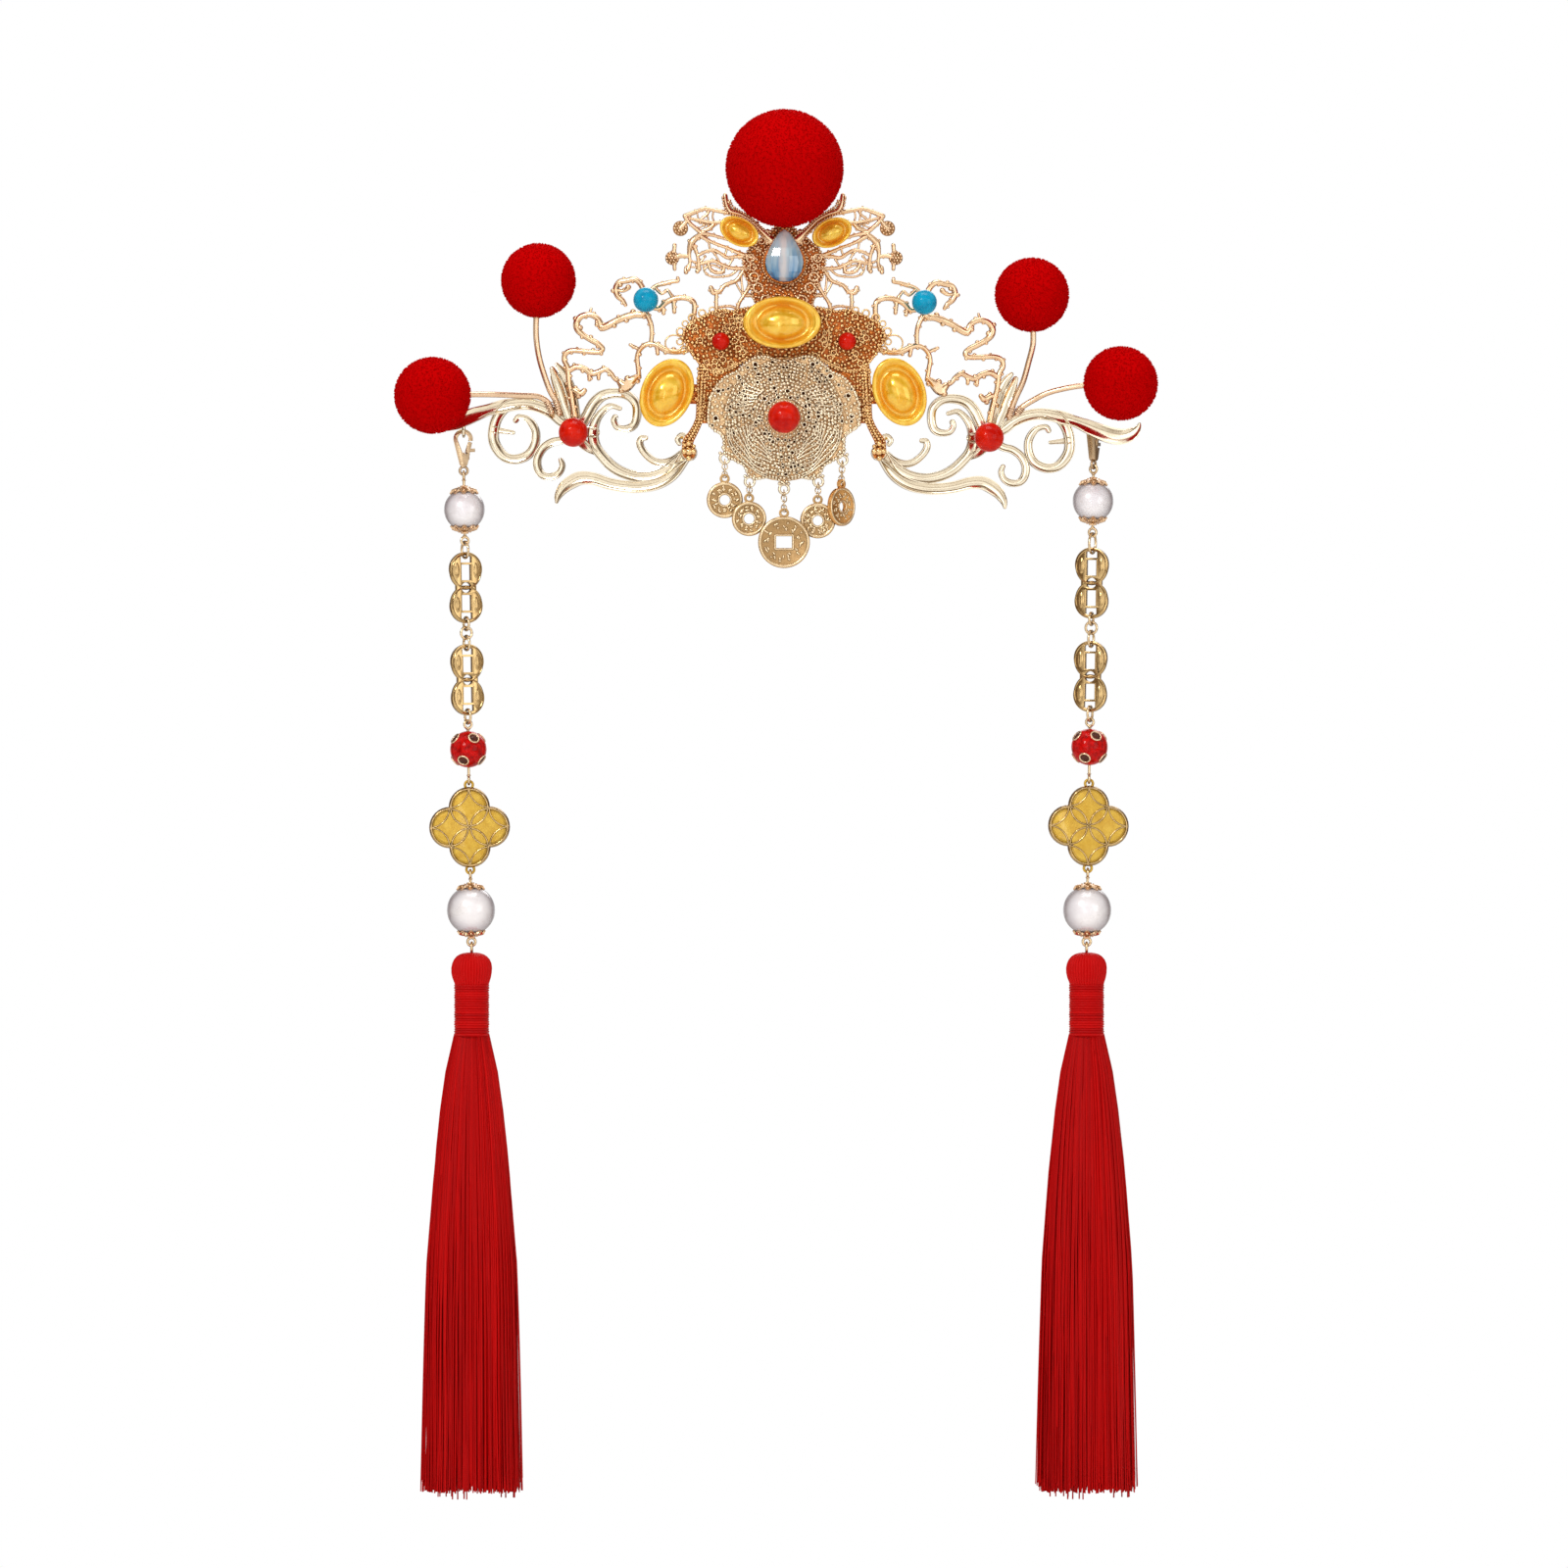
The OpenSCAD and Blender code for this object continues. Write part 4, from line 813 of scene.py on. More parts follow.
for side, s in strings.items():
    face = s["link_turn"]
    second_eye, bead_eye = s["upper"] - 8, s["bead"] + 6.4
    fittings = [
        *pin(s["clasp"] - 2 * EYE + HOOK, second_eye, s["clasp_turn"] + 90, face),
        upright(second_eye - EYE + HOOK, s["link_upper"] + LINK_HOLE, face + 90),
        upright(s["link_upper"] - LINK_HOLE, s["middle"] + 1.5 - HOOK, face + 90),
        upright(s["middle"] + 1.5, s["middle"] - 1.5, face),
        upright(s["middle"] - 1.5 + HOOK, s["link_lower"] + LINK_HOLE, face + 90),
        upright(s["link_lower"] - LINK_HOLE, bead_eye + EYE - HOOK, face + 90),
        *pin(bead_eye, s["leaf"] + LEAF_EYE + 2 * EYE - HOOK, face, 90),
        *pin(s["leaf"] - LEAF_EYE - 2 * EYE + HOOK, s["lower"] - 8.1, 90, 0),
    ]
    caps_here = [
        place(copy_of(caps[which]), at(0, 0, s[which]) @ turn_by(flip, "X")) for which in caps for flip in (0, 180)
    ]
    node = f"string_fittings_{side}"
    finish(place(join(fittings), on_thread(s)), node + "_wire", brass, 60)
    finish(place(join(caps_here), on_thread(s)), node + "_caps", rose, 60)
put_away(*caps.values())

# %% [markdown]
# The links are stamped as two coins that overlap, with a square window in each. The
# frame's blank gets soft edges. Round rims lie on it where the real coins have theirs,
# and they cross in the middle as if the coins were woven.

# %% Links of two joined coins
for side, s in strings.items():
    for which in ("upper", "lower"):
        node = f"coin_link_{which}_{side}"
        where = on_thread(s, s["link_" + which], s["link_turn"])
        parts = [bevelled(node, 0.22)]
        for end in (-1, 1):
            rim = ring(4.02, 0.84, sides=48)
            rim.data.transform(Matrix.Diagonal((1, 2.1, 1.1, 1)))
            parts.append(place(rim, where @ at(0, 0, end * 4.28)))
            for x in (-1, 1):
                post = rod(0.28, 4.6)
                post.scale = (1, 2.75, 1)
                parts.append(place(settle(post), where @ at(x * 1.55, 0, end * 3.9)))
                panel = ball(1.0, segments=24)
                panel.scale = (1, 1, 2.9)
                parts.append(place(settle(panel), where @ at(x * 2.6, 0, end * 4.4)))
        finish(join(parts), node + "_stamped", bright, 50)

# %% [markdown]
# The quatrefoils are enamelled on both faces. The enamel is the frame's own shape with
# soft edges. Over it lies a net of circles of gold wire: the four lobes themselves, and
# arcs from each notch to the tips, so that every lobe holds a hollow-sided diamond.

# %% Quatrefoils
REACH, LOBE, NET = 5.05, 4.95, 4.72
net, rims = [], []
for k in range(4):
    turn = pi / 2 * k
    mid_x, mid_y = REACH * cos(turn), REACH * sin(turn)
    net.append([(mid_x + x, mid_y + y, 0.5) for x, y in around_circle(32, NET) + [(NET, 0)]])
    for tip in (-1, 1):
        bend = [(2 * REACH - 5 * cos(a), tip * (REACH - 5 * sin(a))) for a in [pi / 16 * i for i in range(9)]]
        net.append([(x * cos(turn) - y * sin(turn), x * sin(turn) + y * cos(turn), 0.42) for x, y in bend])
    angles = [turn + radians(-135 + 270 * i / 24) for i in range(25)]
    rim = swept([[(mid_x + LOBE * cos(a), mid_y + LOBE * sin(a), 0.8) for a in angles]], wire, 1)
    rim.data.transform(Matrix.Diagonal((1, 1, 3.4, 1)))
    rims.append(place(rim, UPRIGHT))
front = place(swept(net, fine_wire, 2), at(0, -2.12, 0) @ UPRIGHT)
back = place(copy_of(front), at(0, 2 * 2.12, 0))
wires = join([front, back, *rims, *[ring(1, WIRE, (0, 0, end * LEAF_EYE)) for end in (-1, 1)]])
for side, s in strings.items():
    node = f"quatrefoil_{side}"
    finish(bevelled(node, 0.2), node + "_enamel", mustard, 40)
    finish(place(copy_of(wires), on_thread(s, s["leaf"])), node + "_wires", bright, 60)
put_away(wires)

# %% [markdown]
# The lobster clasps are small castings, and each has a lever that opens its hook. They
# keep the frame's exact shape, because the lever has to clear the body, and get rounded
# edges.

# %% Clasps and levers
for side in strings:
    finish(bevelled(f"clasp_{side}", 0.12, 2, 50), f"clasp_{side}_cast", clasp_gold, 45)
    lever = bevelled(f"clasp_lever_{side}", 0.06, 1, 50)
    finish(lever, f"clasp_lever_{side}_cast", clasp_gold, 45, f"lever_{side}")

# %% [markdown]
# ## The tassels
#
# A tassel is a bundle of silk folded over a loop and bound with more silk. Under the fold
# the threads run lengthways, so the head has fine ridges up and down; the binding has
# ridges round it. Both come off the lathe, the ridges from small steps in radius.


# %% Tassel heads
dome = [
    (0, 0), (1.2, -0.05), (2.2, -0.2), (3.1, -0.5), (3.9, -1.0), (4.6, -1.8), (5.05, -2.8), (5.25, -4.0),
    (5.2, -5.3), (4.95, -6.5), (4.6, -7.5), (4.35, -8.3),
]
dome = turned(dome, 160)
for vertex in dome.data.vertices:
    angle = atan2(vertex.co.y, vertex.co.x)
    groove = 1 - 0.055 * (0.5 + 0.5 * cos(40 * angle)) ** 2 - 0.01 * sin(5 * angle + 900 * vertex.co.z)
    if hypot(vertex.co.x, vertex.co.y) > 0.5 * MM:
        vertex.co.x *= groove
        vertex.co.y *= groove
WRAPS = 21
binding = [(4.0, -8.0)]
for k in range(WRAPS):
    top = -8.2 - 13.1 * k / WRAPS
    bulge = 4.36 + 0.05 * sin(k * 1.7)
    binding += [(bulge - 0.1, top), (bulge + 0.1, top - 0.12), (bulge + 0.17, top - 0.3), (bulge + 0.1, top - 0.48)]
head = join([dome, turned(binding + [(4.1, -21.5), (0, -21.5)], 60)])
loop = ring(1.35, WIRE, (0, 0, 1.15), 90)
tassels = {}
for side, s in strings.items():
    tassels[side] = at(s["x"] + (HEAD_TOP - s["clasp"]) * tan(radians(s["lean"])), s["y"], HEAD_TOP)
    finish(place(copy_of(head), tassels[side]), f"tassel_head_{side}_silk", silk, 60)
    hung = place(copy_of(loop), tassels[side])
    finish(hung, f"tassel_loop_{side}", brass, 60, node=f"tassel_head_{side}")
put_away(head, loop)

# %% [markdown]
# The skirt is hundreds of threads. Each starts under the binding and swings out with the
# outline of the bundle, drifts a little on the way and is cut at nearly the same length
# as the others. A fluted core keeps light from shining through. The skirt is flatter than
# it is wide, as it hangs in front of the shoulder.

# %% Skirt threads
skirt_outline = [
    (0, 4.3), (0.04, 5.5), (0.09, 6.7), (0.195, 8.4), (0.3, 9.5), (0.4, 10.3), (0.51, 10.9), (0.63, 11.3),
    (0.76, 11.7), (0.87, 12.3), (0.95, 12.9), (1.0, 13.0),
]
SKIRT_TOP, SKIRT_LENGTH, FLAT = -21.0, 117.6, 0.65
BUNDLE, WIDEST = 10.9, 13.25
STRANDS, LOOSE = (520), 48
GOLDEN = 0.618034


def half_width(share):
    for (a, r0), (b, r1) in zip(skirt_outline, skirt_outline[1:]):
        if share <= b:
            return r0 + (r1 - r0) * (share - a) / (b - a)
    return skirt_outline[-1][1]


def strand_at(out, angle, down, width):
    return (out * cos(angle), FLAT * out * sin(angle), SKIRT_TOP - down, width)


def bundled_thread(k, chance):
    angle = tau * (k * GOLDEN % 1)
    inner = chance.uniform(0.95, 1.0) if k % 4 else chance.uniform(0.6, 0.93)
    length = SKIRT_LENGTH * (1.012 if k % 41 == 0 else 1 - abs(chance.gauss(0, 0.01)))
    stray = chance.gauss(0, 0.5) if k % 9 else chance.gauss(0, 1.2)
    phase, sway = chance.uniform(0, 6.28), chance.uniform(0.05, 0.3)
    rows = []
    for share in [i / 12 for i in range(13)]:
        out = min(half_width(share * length / SKIRT_LENGTH), BUNDLE + 0.6 * share) * inner
        out += stray * share**3 * 0.6 + sway * sin(phase + 9 * share) * share
        drift = radians(3.0 * sin(phase + 3 * share) * (1 - share) + 2.0 * stray * share)
        rows.append(strand_at(min(out, WIDEST), angle + drift, length * share, 0.62 - 0.18 * share))
    return rows


def loose_thread(k, chance):
    angle = (0 if k % 2 else pi) + chance.gauss(0, 0.3)
    length, start = SKIRT_LENGTH * chance.uniform(0.96, 1.0), chance.uniform(0.2, 0.6)
    away, bow = chance.uniform(-0.2, 0.9), chance.uniform(0.1, 0.6)
    rows = []
    for i in range(13):
        share = start + (1 - start) * i / 12
        out = min(half_width(share), BUNDLE) + away * sin(pi * (i / 12) ** 0.7) * bow
        out += (1.4 + away) * max(0, share - 0.4) / 0.6
        rows.append(strand_at(out, angle, length * share, 0.34))
    return rows


for side in strings:
    chance = random.Random(7 if side == "left" else 11)
    rows = [bundled_thread(k, chance) for k in range(STRANDS)] + [loose_thread(k, chance) for k in range(LOOSE)]
    bundle = swept(rows, strand, 1)
    core = [(0, SKIRT_TOP)]
    for share in [i / 16 for i in range(17)]:
        core.append((min(half_width(share), 11) * (0.95 - 0.05 * share), SKIRT_TOP - share * SKIRT_LENGTH * 0.965))
    core = turned(core + [(0, SKIRT_TOP - SKIRT_LENGTH * 0.955)], 180)
    for vertex in core.data.vertices:
        angle = atan2(vertex.co.y, vertex.co.x)
        groove = 1 - 0.02 * (0.5 + 0.5 * cos(90 * angle)) - 0.02 * sin(11 * angle + 40 * vertex.co.z)
        vertex.co.x *= groove
        vertex.co.y *= groove * FLAT
    finish(place(bundle, tassels[side]), f"tassel_skirt_{side}_threads", silk, 130)
    finish(place(core, tassels[side]), f"tassel_skirt_{side}_core", silk, 60)


# %% [markdown]
# ## The scroll wings
#
# A scroll wing is one casting: many strokes that curl out of a root beside the medallion.
# Its front is a shallow channel between two polished rims. A section with that channel is
# swept along every stroke, and the width of the stroke thins towards its tip. The drawing
# is made flat on the bench with x to the outside. Then the wing is stood up, tilted, and
# turned back by 12 degrees; the left one is also mirrored.


# %% Bench to crown
ROOT = (24, -15.5)
BRANCH_ROOT = (24, 12)
SIDES = {"left": -1, "right": 1}
THICKEST, LAYER = 1.0, 0.03


def flat_x(x):
    return HINGE_X + (x - HINGE_X) / cos(SWEEP)


def flattened(strokes):
    return [[(flat_x(x), z, w) for x, z, w in rows] for rows in strokes]


def on_wing(side, layer, pivot=ROOT, lean=0.0, reach=1.0):
    """Leans and stretches about the pivot, then stands up, turns back and mirrors."""
    bend = at(*pivot) @ turn_by(lean, "Z") @ Matrix.Scale(reach, 4) @ at(*pivot).inverted()
    back = at(HINGE_X, layer) @ Matrix.Rotation(SWEEP, 4, "Z") @ at(-HINGE_X, 0)
    return Matrix.Diagonal((SIDES[side], 1, 1, 1)) @ back @ UPRIGHT @ bend


def round_ends(path):
    """Adds rows that close a stroke's ends in half circles."""
    ends = []
    for tip, before in ((path[0], path[1]), (path[-1], path[-2])):
        away = Vector((tip[0] - before[0], tip[1] - before[1])).normalized()
        rows = []
        for angle in (25, 50, 72, 88):
            a = radians(angle)
            step = away * sin(a) * tip[-1] / 2
            rows.append([tip[0] + step.x, tip[1] + step.y, *tip[2:-1], tip[-1] * cos(a)])
        ends.append(rows)
    return list(reversed(ends[0])) + path + ends[1]


def cast(strokes, outline, thickest=THICKEST):
    """Sweeps strokes one by one, each at its own hair's breadth of height, and joins them."""
    parts = []
    for i, rows in enumerate(strokes):
        part = swept([round_ends(smooth_rows(rows, 4))], outline, 1)
        for vertex in part.data.vertices:
            vertex.co.z = max(-thickest * MM, min(thickest * MM, vertex.co.z)) + (i % 5) * LAYER * MM
        parts.append(part)
    return join(parts)


print("wings turn back by", round(degrees(SWEEP)), "degrees")

# %% The strokes of a scroll wing
scroll_strokes = [
    [
        (24.5, -15.5, 2.4), (28, -17.5, 1.6), (30.5, -18.25, 1.5), (33, -17.75, 1.4), (35.25, -16, 1.3),
        (36.5, -14, 1.3), (36.25, -12.5, 1.2), (35.25, -12.25, 1),
    ],
    [(24.25, -15, 2), (24.5, -12.75, 1.4), (26, -11.25, 1.2), (27.25, -12.25, 1), (26.75, -13.25, 0.9)],
    [
        (25, -16, 2.2), (27.25, -20, 2.1), (29.5, -22.25, 2.1), (32.5, -23.75, 2.2), (36.25, -24.5, 2.2),
        (40, -24.5, 2.2), (43.75, -24, 2.2), (47.5, -23, 2.3), (50.75, -23, 2.5), (53.25, -24.25, 2.4),
        (55, -25.75, 2), (56.2, -27.75, 1.3), (56.5, -29.25, 0.6),
    ],
    [
        (25, -16, 2), (27, -17.75, 2), (29.5, -20, 2), (32.5, -21.5, 2), (36.25, -22, 2), (40, -21.25, 2),
        (43, -19.75, 2), (45.5, -17.5, 1.9), (47.5, -15, 1.9), (48.25, -12, 1.9), (47.75, -8.75, 1.6),
        (46.25, -6.25, 1.3), (44.25, -4.75, 1.1), (42, -5.25, 0.9),
    ],
    [
        (52.5, -11.5, 2), (50.25, -8, 2), (48.5, -4.5, 2), (46.25, -2.25, 1.9), (43, -1.5, 1.8), (40, -2, 1.7),
        (38, -4, 1.6), (37.6, -6.75, 1.6), (38.25, -9.25, 1.5), (40, -10.25, 1.4), (42.25, -10, 1.2),
        (43.25, -8.5, 1.1), (43, -7.5, 1.1),
    ],
    [
        (52.5, -11, 2), (56, -9.25, 2), (58.25, -7.5, 2.1), (61.25, -6, 2.2), (65, -5.25, 2.2), (68.75, -5.6, 2.3),
        (71.25, -6.2, 2.5), (74.5, -7.1, 2.8), (77.5, -8.25, 3.4), (80.5, -9.5, 3.9), (83.75, -10.6, 4.2),
        (86.75, -10.9, 4), (89.3, -10, 3), (90.8, -8.6, 1.5), (91.2, -7.6, 0.7),
    ],
    [
        (67.5, -5.2, 1.8), (70, -6, 1.9), (72, -8.25, 1.9), (73, -11.25, 1.9), (73, -14.5, 1.9), (71.75, -17, 1.9),
        (69.75, -18.75, 1.8), (67, -19.1, 1.8), (64.25, -17.9, 1.7), (62.75, -15.5, 1.6), (62.5, -12.5, 1.5),
        (63.5, -10.25, 1.4), (65, -8.9, 1.2), (67, -8.6, 1.1), (67.75, -9.5, 1),
    ],
    [(72.75, -12, 1.4), (70.5, -12.25, 1), (68.25, -12.5, 0.8)],
    [
        (53, -12, 1.8), (56, -13.8, 1.5), (58.25, -14.4, 1.5), (60.5, -16, 1.5), (61.75, -18.5, 1.5),
        (61.6, -21, 1.5), (60.25, -22.75, 1.4), (58, -23, 1.4), (56.25, -22, 1.2), (55.5, -20.2, 1.1),
        (56, -18.75, 0.9),
    ],
    [(47.5, -16.5, 1), (49.5, -15.25, 1.7), (52, -13, 2)],
    [(52.5, -11.5, 2), (48, -11.5, 2)],
    [(52.5, -10.5, 1.8), (53.5, -5, 1.9), (54.75, -0.5, 1.9), (56.5, 3, 1.5), (58.2, 4.9, 0.8)],
    [(53.5, -10, 2), (55.5, -5.5, 2), (57, -1.5, 2.1), (58.25, 1.5, 1.8), (59.25, 3.75, 1)],
]
half_channel = [(0.8, -0.92), (1, -0.5), (1, 0.7), (0.94, 0.95), (0.83, 0.93), (0.74, 0.52), (0.4, 0.36)]
channel = section(half_channel + [(0, 0.32)] + [(-x, z) for x, z in reversed(half_channel)])
TAIL_X, FULLER = 74, 1.34
scroll_strokes = [[(x, z, w * (FULLER if x < TAIL_X else 1)) for x, z, w in rows] for rows in scroll_strokes]
seat = [(0, -0.95), (2.5, -0.95), (2.72, -0.7), (2.72, 0.85), (2.5, 1.05), (2.25, 0.9), (2.1, 0.5), (0, 0.45)]
seat = place(turned(seat, 40), at(flat_x(53), -11))
knuckle = turned([(0, -0.95), (1.8, -0.95), (2.02, -0.6), (2.02, 0.7), (1.6, 1.12), (0, 1.25)], 32)
scroll = join([cast(flattened(scroll_strokes), channel), seat, place(knuckle, at(24.25, -15.5))])
print("one scroll wing:", len(scroll.data.polygons), "faces")

# %% [markdown]
# The bead in the middle of each wing sits in a cup of its own. The cup's foot is on the
# wing, and its edge is a string of granules. The end of each wing also has a ring at the
# back, for the lobster clasp.


# %% Bead cups and the two wings
def bead_cup(bead_d, gap, sides=36):
    """gap is from the metal, at height 0, to the back of the bead."""
    r = bead_d / 2
    edge = 0.72 * r
    top = gap + r - sqrt(r**2 - edge**2)
    cup = [
        (0, -0.1), (0.45 * r, -0.1), (0.33 * r, 0.4 * gap), (0.5 * r, 0.9 * gap), (edge, top - 0.25),
        (edge + 0.15, top - 0.1), (edge - 0.12, top - 0.14), (0.45 * r, gap - 0.02), (0, gap - 0.1),
    ]
    chain = around_circle(round(tau * edge / 0.62), edge * 1.04)
    return join([turned(cup, sides), *[ball(0.29, (x, y, top - 0.02)) for x, y in chain]])


coral_places = {"left": (53.8, -10.2), "right": (52.4, -11.5)}
hangers = {
    "left": ring(2.2, 0.8, (-82.2, wing_depth(82.2, 3.9) + 1.8, -8.6), 90, 90, 40),
    "right": ring(2.2, 0.8, (78.3, wing_depth(78.3, 3.9) + 1.8, -9.0), 0, 0, 40),
}
coral_cup = bead_cup(7.5, 1.9)
for side in SIDES:
    lean, reach = (3, 1.03) if side == "left" else (0, 1)
    x, z = coral_places[side]
    wing = place(copy_of(scroll), on_wing(side, 2.9, ROOT, lean, reach))
    cup = place(copy_of(coral_cup), on_wing(side, 1.95) @ at(flat_x(x), z))
    finish(join([wing, cup, hangers[side]]), f"scroll_{side}_cast", champagne, 40)
    bead = place(ball(3.75, segments=48), on_wing(side, -3.65) @ at(flat_x(x), z))
    finish(bead, f"coral_{side}_bead", coral, 80)
put_away(scroll, coral_cup, channel)

# %% [markdown]
# ## The vine branches
#
# The branches were cast from thin twigs, so they are round, and small knobs stand on them
# where leaves grew. The strokes are swept with a round section. A seeded dice puts a knob
# on alternate sides every two or three millimetres.

# %% Twigs and knobs
branch_strokes = [
    [
        (35.3, 23.5, 2), (36.25, 27, 1.5), (38, 28.9, 1.5), (40, 28.6, 1.5), (42, 28.25, 1.6), (43, 26.5, 1.6),
        (42.5, 24.75, 1.5), (41.25, 23.6, 1.3), (40.5, 22.4, 1),
    ],
    [(42.6, 26.2, 1), (41, 26, 0.9), (39.75, 26.9, 1.5)],
    [
        (35.3, 22, 1.8), (36, 20, 1.8), (38, 19.9, 1.8), (40, 19.4, 2), (42.5, 18.5, 1.8), (44.5, 17.4, 2),
        (46.6, 16.6, 1.8), (47.2, 18.2, 1.5),
    ],
    [
        (46.6, 16.9, 1.4), (47.25, 18.5, 1.5), (48.5, 19.6, 1.5), (50, 20, 1.5), (51.9, 19.5, 1.6), (53, 18, 1.8),
        (52.75, 16.25, 1.8), (51.25, 14.75, 1.5), (49.25, 13.5, 1.5), (47.5, 12.5, 1.5), (46.4, 11.3, 1.4),
        (47.2, 10.4, 1.4), (50, 10.5, 1.4), (52.5, 10.8, 1.4), (54.5, 10.8, 1.4), (55.9, 10, 1.4), (56.2, 8.4, 1.4),
        (55.5, 7, 1.4), (55.2, 5.4, 1.5), (55, 2.5, 1.4), (54.5, 0, 1.4), (54, -3, 1.5), (53.5, -6, 1.6),
    ],
    [(49.8, 19.8, 1), (49.25, 21.5, 0.7)],
    [
        (55.2, 5.6, 1.6), (53, 6.7, 1.6), (50.75, 6, 1.6), (49.25, 4.9, 1.6), (47.5, 5.3, 1.5), (45.75, 6, 1.4),
        (44.25, 5, 1.3), (43.25, 3.6, 1.2), (41.5, 2.5, 1.2),
    ],
    [(49.75, 5, 1.3), (49.75, 3.4, 1.1)],
    [(47.5, 5.2, 1.2), (47.4, 3.6, 1)],
    [(55, 0.6, 1), (53.5, 0.8, 1.6), (52, -0.2, 1.8), (51, 0.6, 1.4)],
    [(37, 4.4, 1.2), (38.75, 3, 2.6), (40.5, 1.6, 3), (41.75, 2.6, 2)],
    [(35.2, 20.4, 1.4), (34, 17.5, 1.3), (33.75, 15, 1.2), (34, 12.6, 1.2)],
    [
        (24, 11, 1.6), (27, 10.3, 1.5), (30, 10.7, 1.6), (32.75, 12.2, 1.5), (35, 12.3, 1.3), (36.75, 11, 1.3),
        (37.5, 9, 1.3), (37.3, 6.75, 1.3), (37, 3.9, 1.3),
    ],
    [(36.9, 11, 1), (39.25, 12.2, 0.9)],
    [(32.5, 12, 1.2), (32.25, 9.9, 1.1)],
    [
        (35.3, 22.8, 1.8), (32, 21.4, 1.4), (30, 23, 1.5), (27.5, 24, 1.5), (25, 24, 1.4), (23, 22.9, 1.4),
        (22.9, 20, 1.4), (23.5, 17, 1.4),
    ],
    [(31, 22.3, 1.2), (30.75, 20.2, 1.1)],
    [(28.2, 23.7, 1.2), (28, 20.5, 1.1)],
    [(35, 24.5, 1.6), (33, 27, 1.1), (30.5, 27.75, 1.2), (28.5, 28.25, 1.1), (27.1, 28.4, 1), (27.1, 29.2, 0.9)],
    [(33, 26.9, 0.9), (31.25, 25.2, 0.8), (29.75, 26.1, 0.8), (28.5, 24.3, 0.9)],
]


def knobs_on(strokes, chance, spacing):
    """Small knobs on alternate sides of every stroke, and one at its free end."""
    spots = []
    for rows in strokes:
        path = smooth_rows(rows, 5)
        walked, way = 0.0, 1
        for a, b in zip(path, path[1:]):
            step = Vector((b[0] - a[0], b[1] - a[1]))
            walked += step.length
            if walked > spacing * chance.uniform(0.7, 1.3):
                walked, way = 0.0, -way
                out = Vector((-step.y, step.x)).normalized() * way * a[2] * 0.42
                height, size = chance.uniform(-0.1, 0.2), chance.uniform(0.75, 1.15) * a[2] / 1.5
                spots.append(at(a[0] + out.x, a[1] + out.y, height, size))
        spots.append(at(path[-1][0], path[-1][1], 0, 1.25 * path[-1][2] / 1.5))
    return spots


branch_strokes = flattened(branch_strokes)
twigs = cast(branch_strokes, wire)
branch = join([twigs, scattered(ball(0.6), knobs_on(branch_strokes, random.Random(5), 1.9))])
turquoise_cup = bead_cup(6.4, 0.75)
berry = at(flat_x(35.25), 23.5)
for side in SIDES:
    lean = -3 if side == "right" else 0
    cup = place(copy_of(turquoise_cup), on_wing(side, 0.8, BRANCH_ROOT, lean) @ berry)
    twig = place(copy_of(branch), on_wing(side, 1.1, BRANCH_ROOT, lean))
    finish(join([twig, cup]), f"branch_{side}_cast", rose, 60)
    bead = place(ball(3.2, segments=48), on_wing(side, 0.5 - 0.2 - 3.2, BRANCH_ROOT, lean) @ berry)
    finish(bead, f"turquoise_{side}_bead", turquoise, 80)
put_away(branch, turquoise_cup)

# %% [markdown]
# ## The crest
#
# The crest is a small solid plate with filigree on both sides: thin wires, leaves with
# their veins, mushroom knobs and a collar that follows the big pompom. The plate is drawn
# as a closed curve, extruded and given a rounded edge. Rows of granules and short coils
# of wire cover it.


# %% Plates and outlines
def sheet_of(outline, thickness, edge=0.15):
    """A flat plate from a closed outline in mm, centred on the bench."""
    obj = new_curve("2D")
    curve = obj.data
    curve.fill_mode = "BOTH"
    curve.extrude = (thickness / 2 - edge) * MM
    curve.bevel_depth = edge * MM
    curve.bevel_resolution = 1
    curve.offset = -edge * MM
    add_line(curve, [row[:2] for row in outline], closed=True)
    return as_mesh(obj)


def both_sides(half):
    return [tuple(p) for p in half] + [(-p[0], p[1]) for p in reversed(half) if abs(p[0]) > 0.01]


def inside(x, y, outline):
    hit = False
    for (x0, y0), (x1, y1) in zip(outline, outline[1:] + outline[:1]):
        if (y0 > y) != (y1 > y) and x < x0 + (y - y0) * (x1 - x0) / (y1 - y0):
            hit = not hit
    return hit


def far_apart(outline, gap, chance, tries, keep_out=()):
    """Random places inside an outline, none closer than the gap."""
    xs, ys = [p[0] for p in outline], [p[1] for p in outline]
    cells, spots = {}, []
    for _ in range(tries):
        x, y = chance.uniform(min(xs), max(xs)), chance.uniform(min(ys), max(ys))
        key = (int(x // gap), int(y // gap))
        near = [p for i in (-1, 0, 1) for j in (-1, 0, 1) for p in cells.get((key[0] + i, key[1] + j), ())]
        if any((x - p[0]) ** 2 + (y - p[1]) ** 2 < gap * gap for p in near):
            continue
        if any((x - cx) ** 2 + (y - cy) ** 2 < r * r for cx, cy, r in keep_out) or not inside(x, y, outline):
            continue
        cells.setdefault(key, []).append((x, y))
        spots.append((x, y))
    return spots


def along(path, spacing):
    """Evenly spaced places along a path."""
    spots, left = [], 0.0
    for a, b in zip(path, path[1:]):
        length = dist(a[:2], b[:2])
        while left < length:
            t = left / length
            spots.append((a[0] + (b[0] - a[0]) * t, a[1] + (b[1] - a[1]) * t))
            left += spacing
        left -= length
    return spots


print("plate helpers ready")

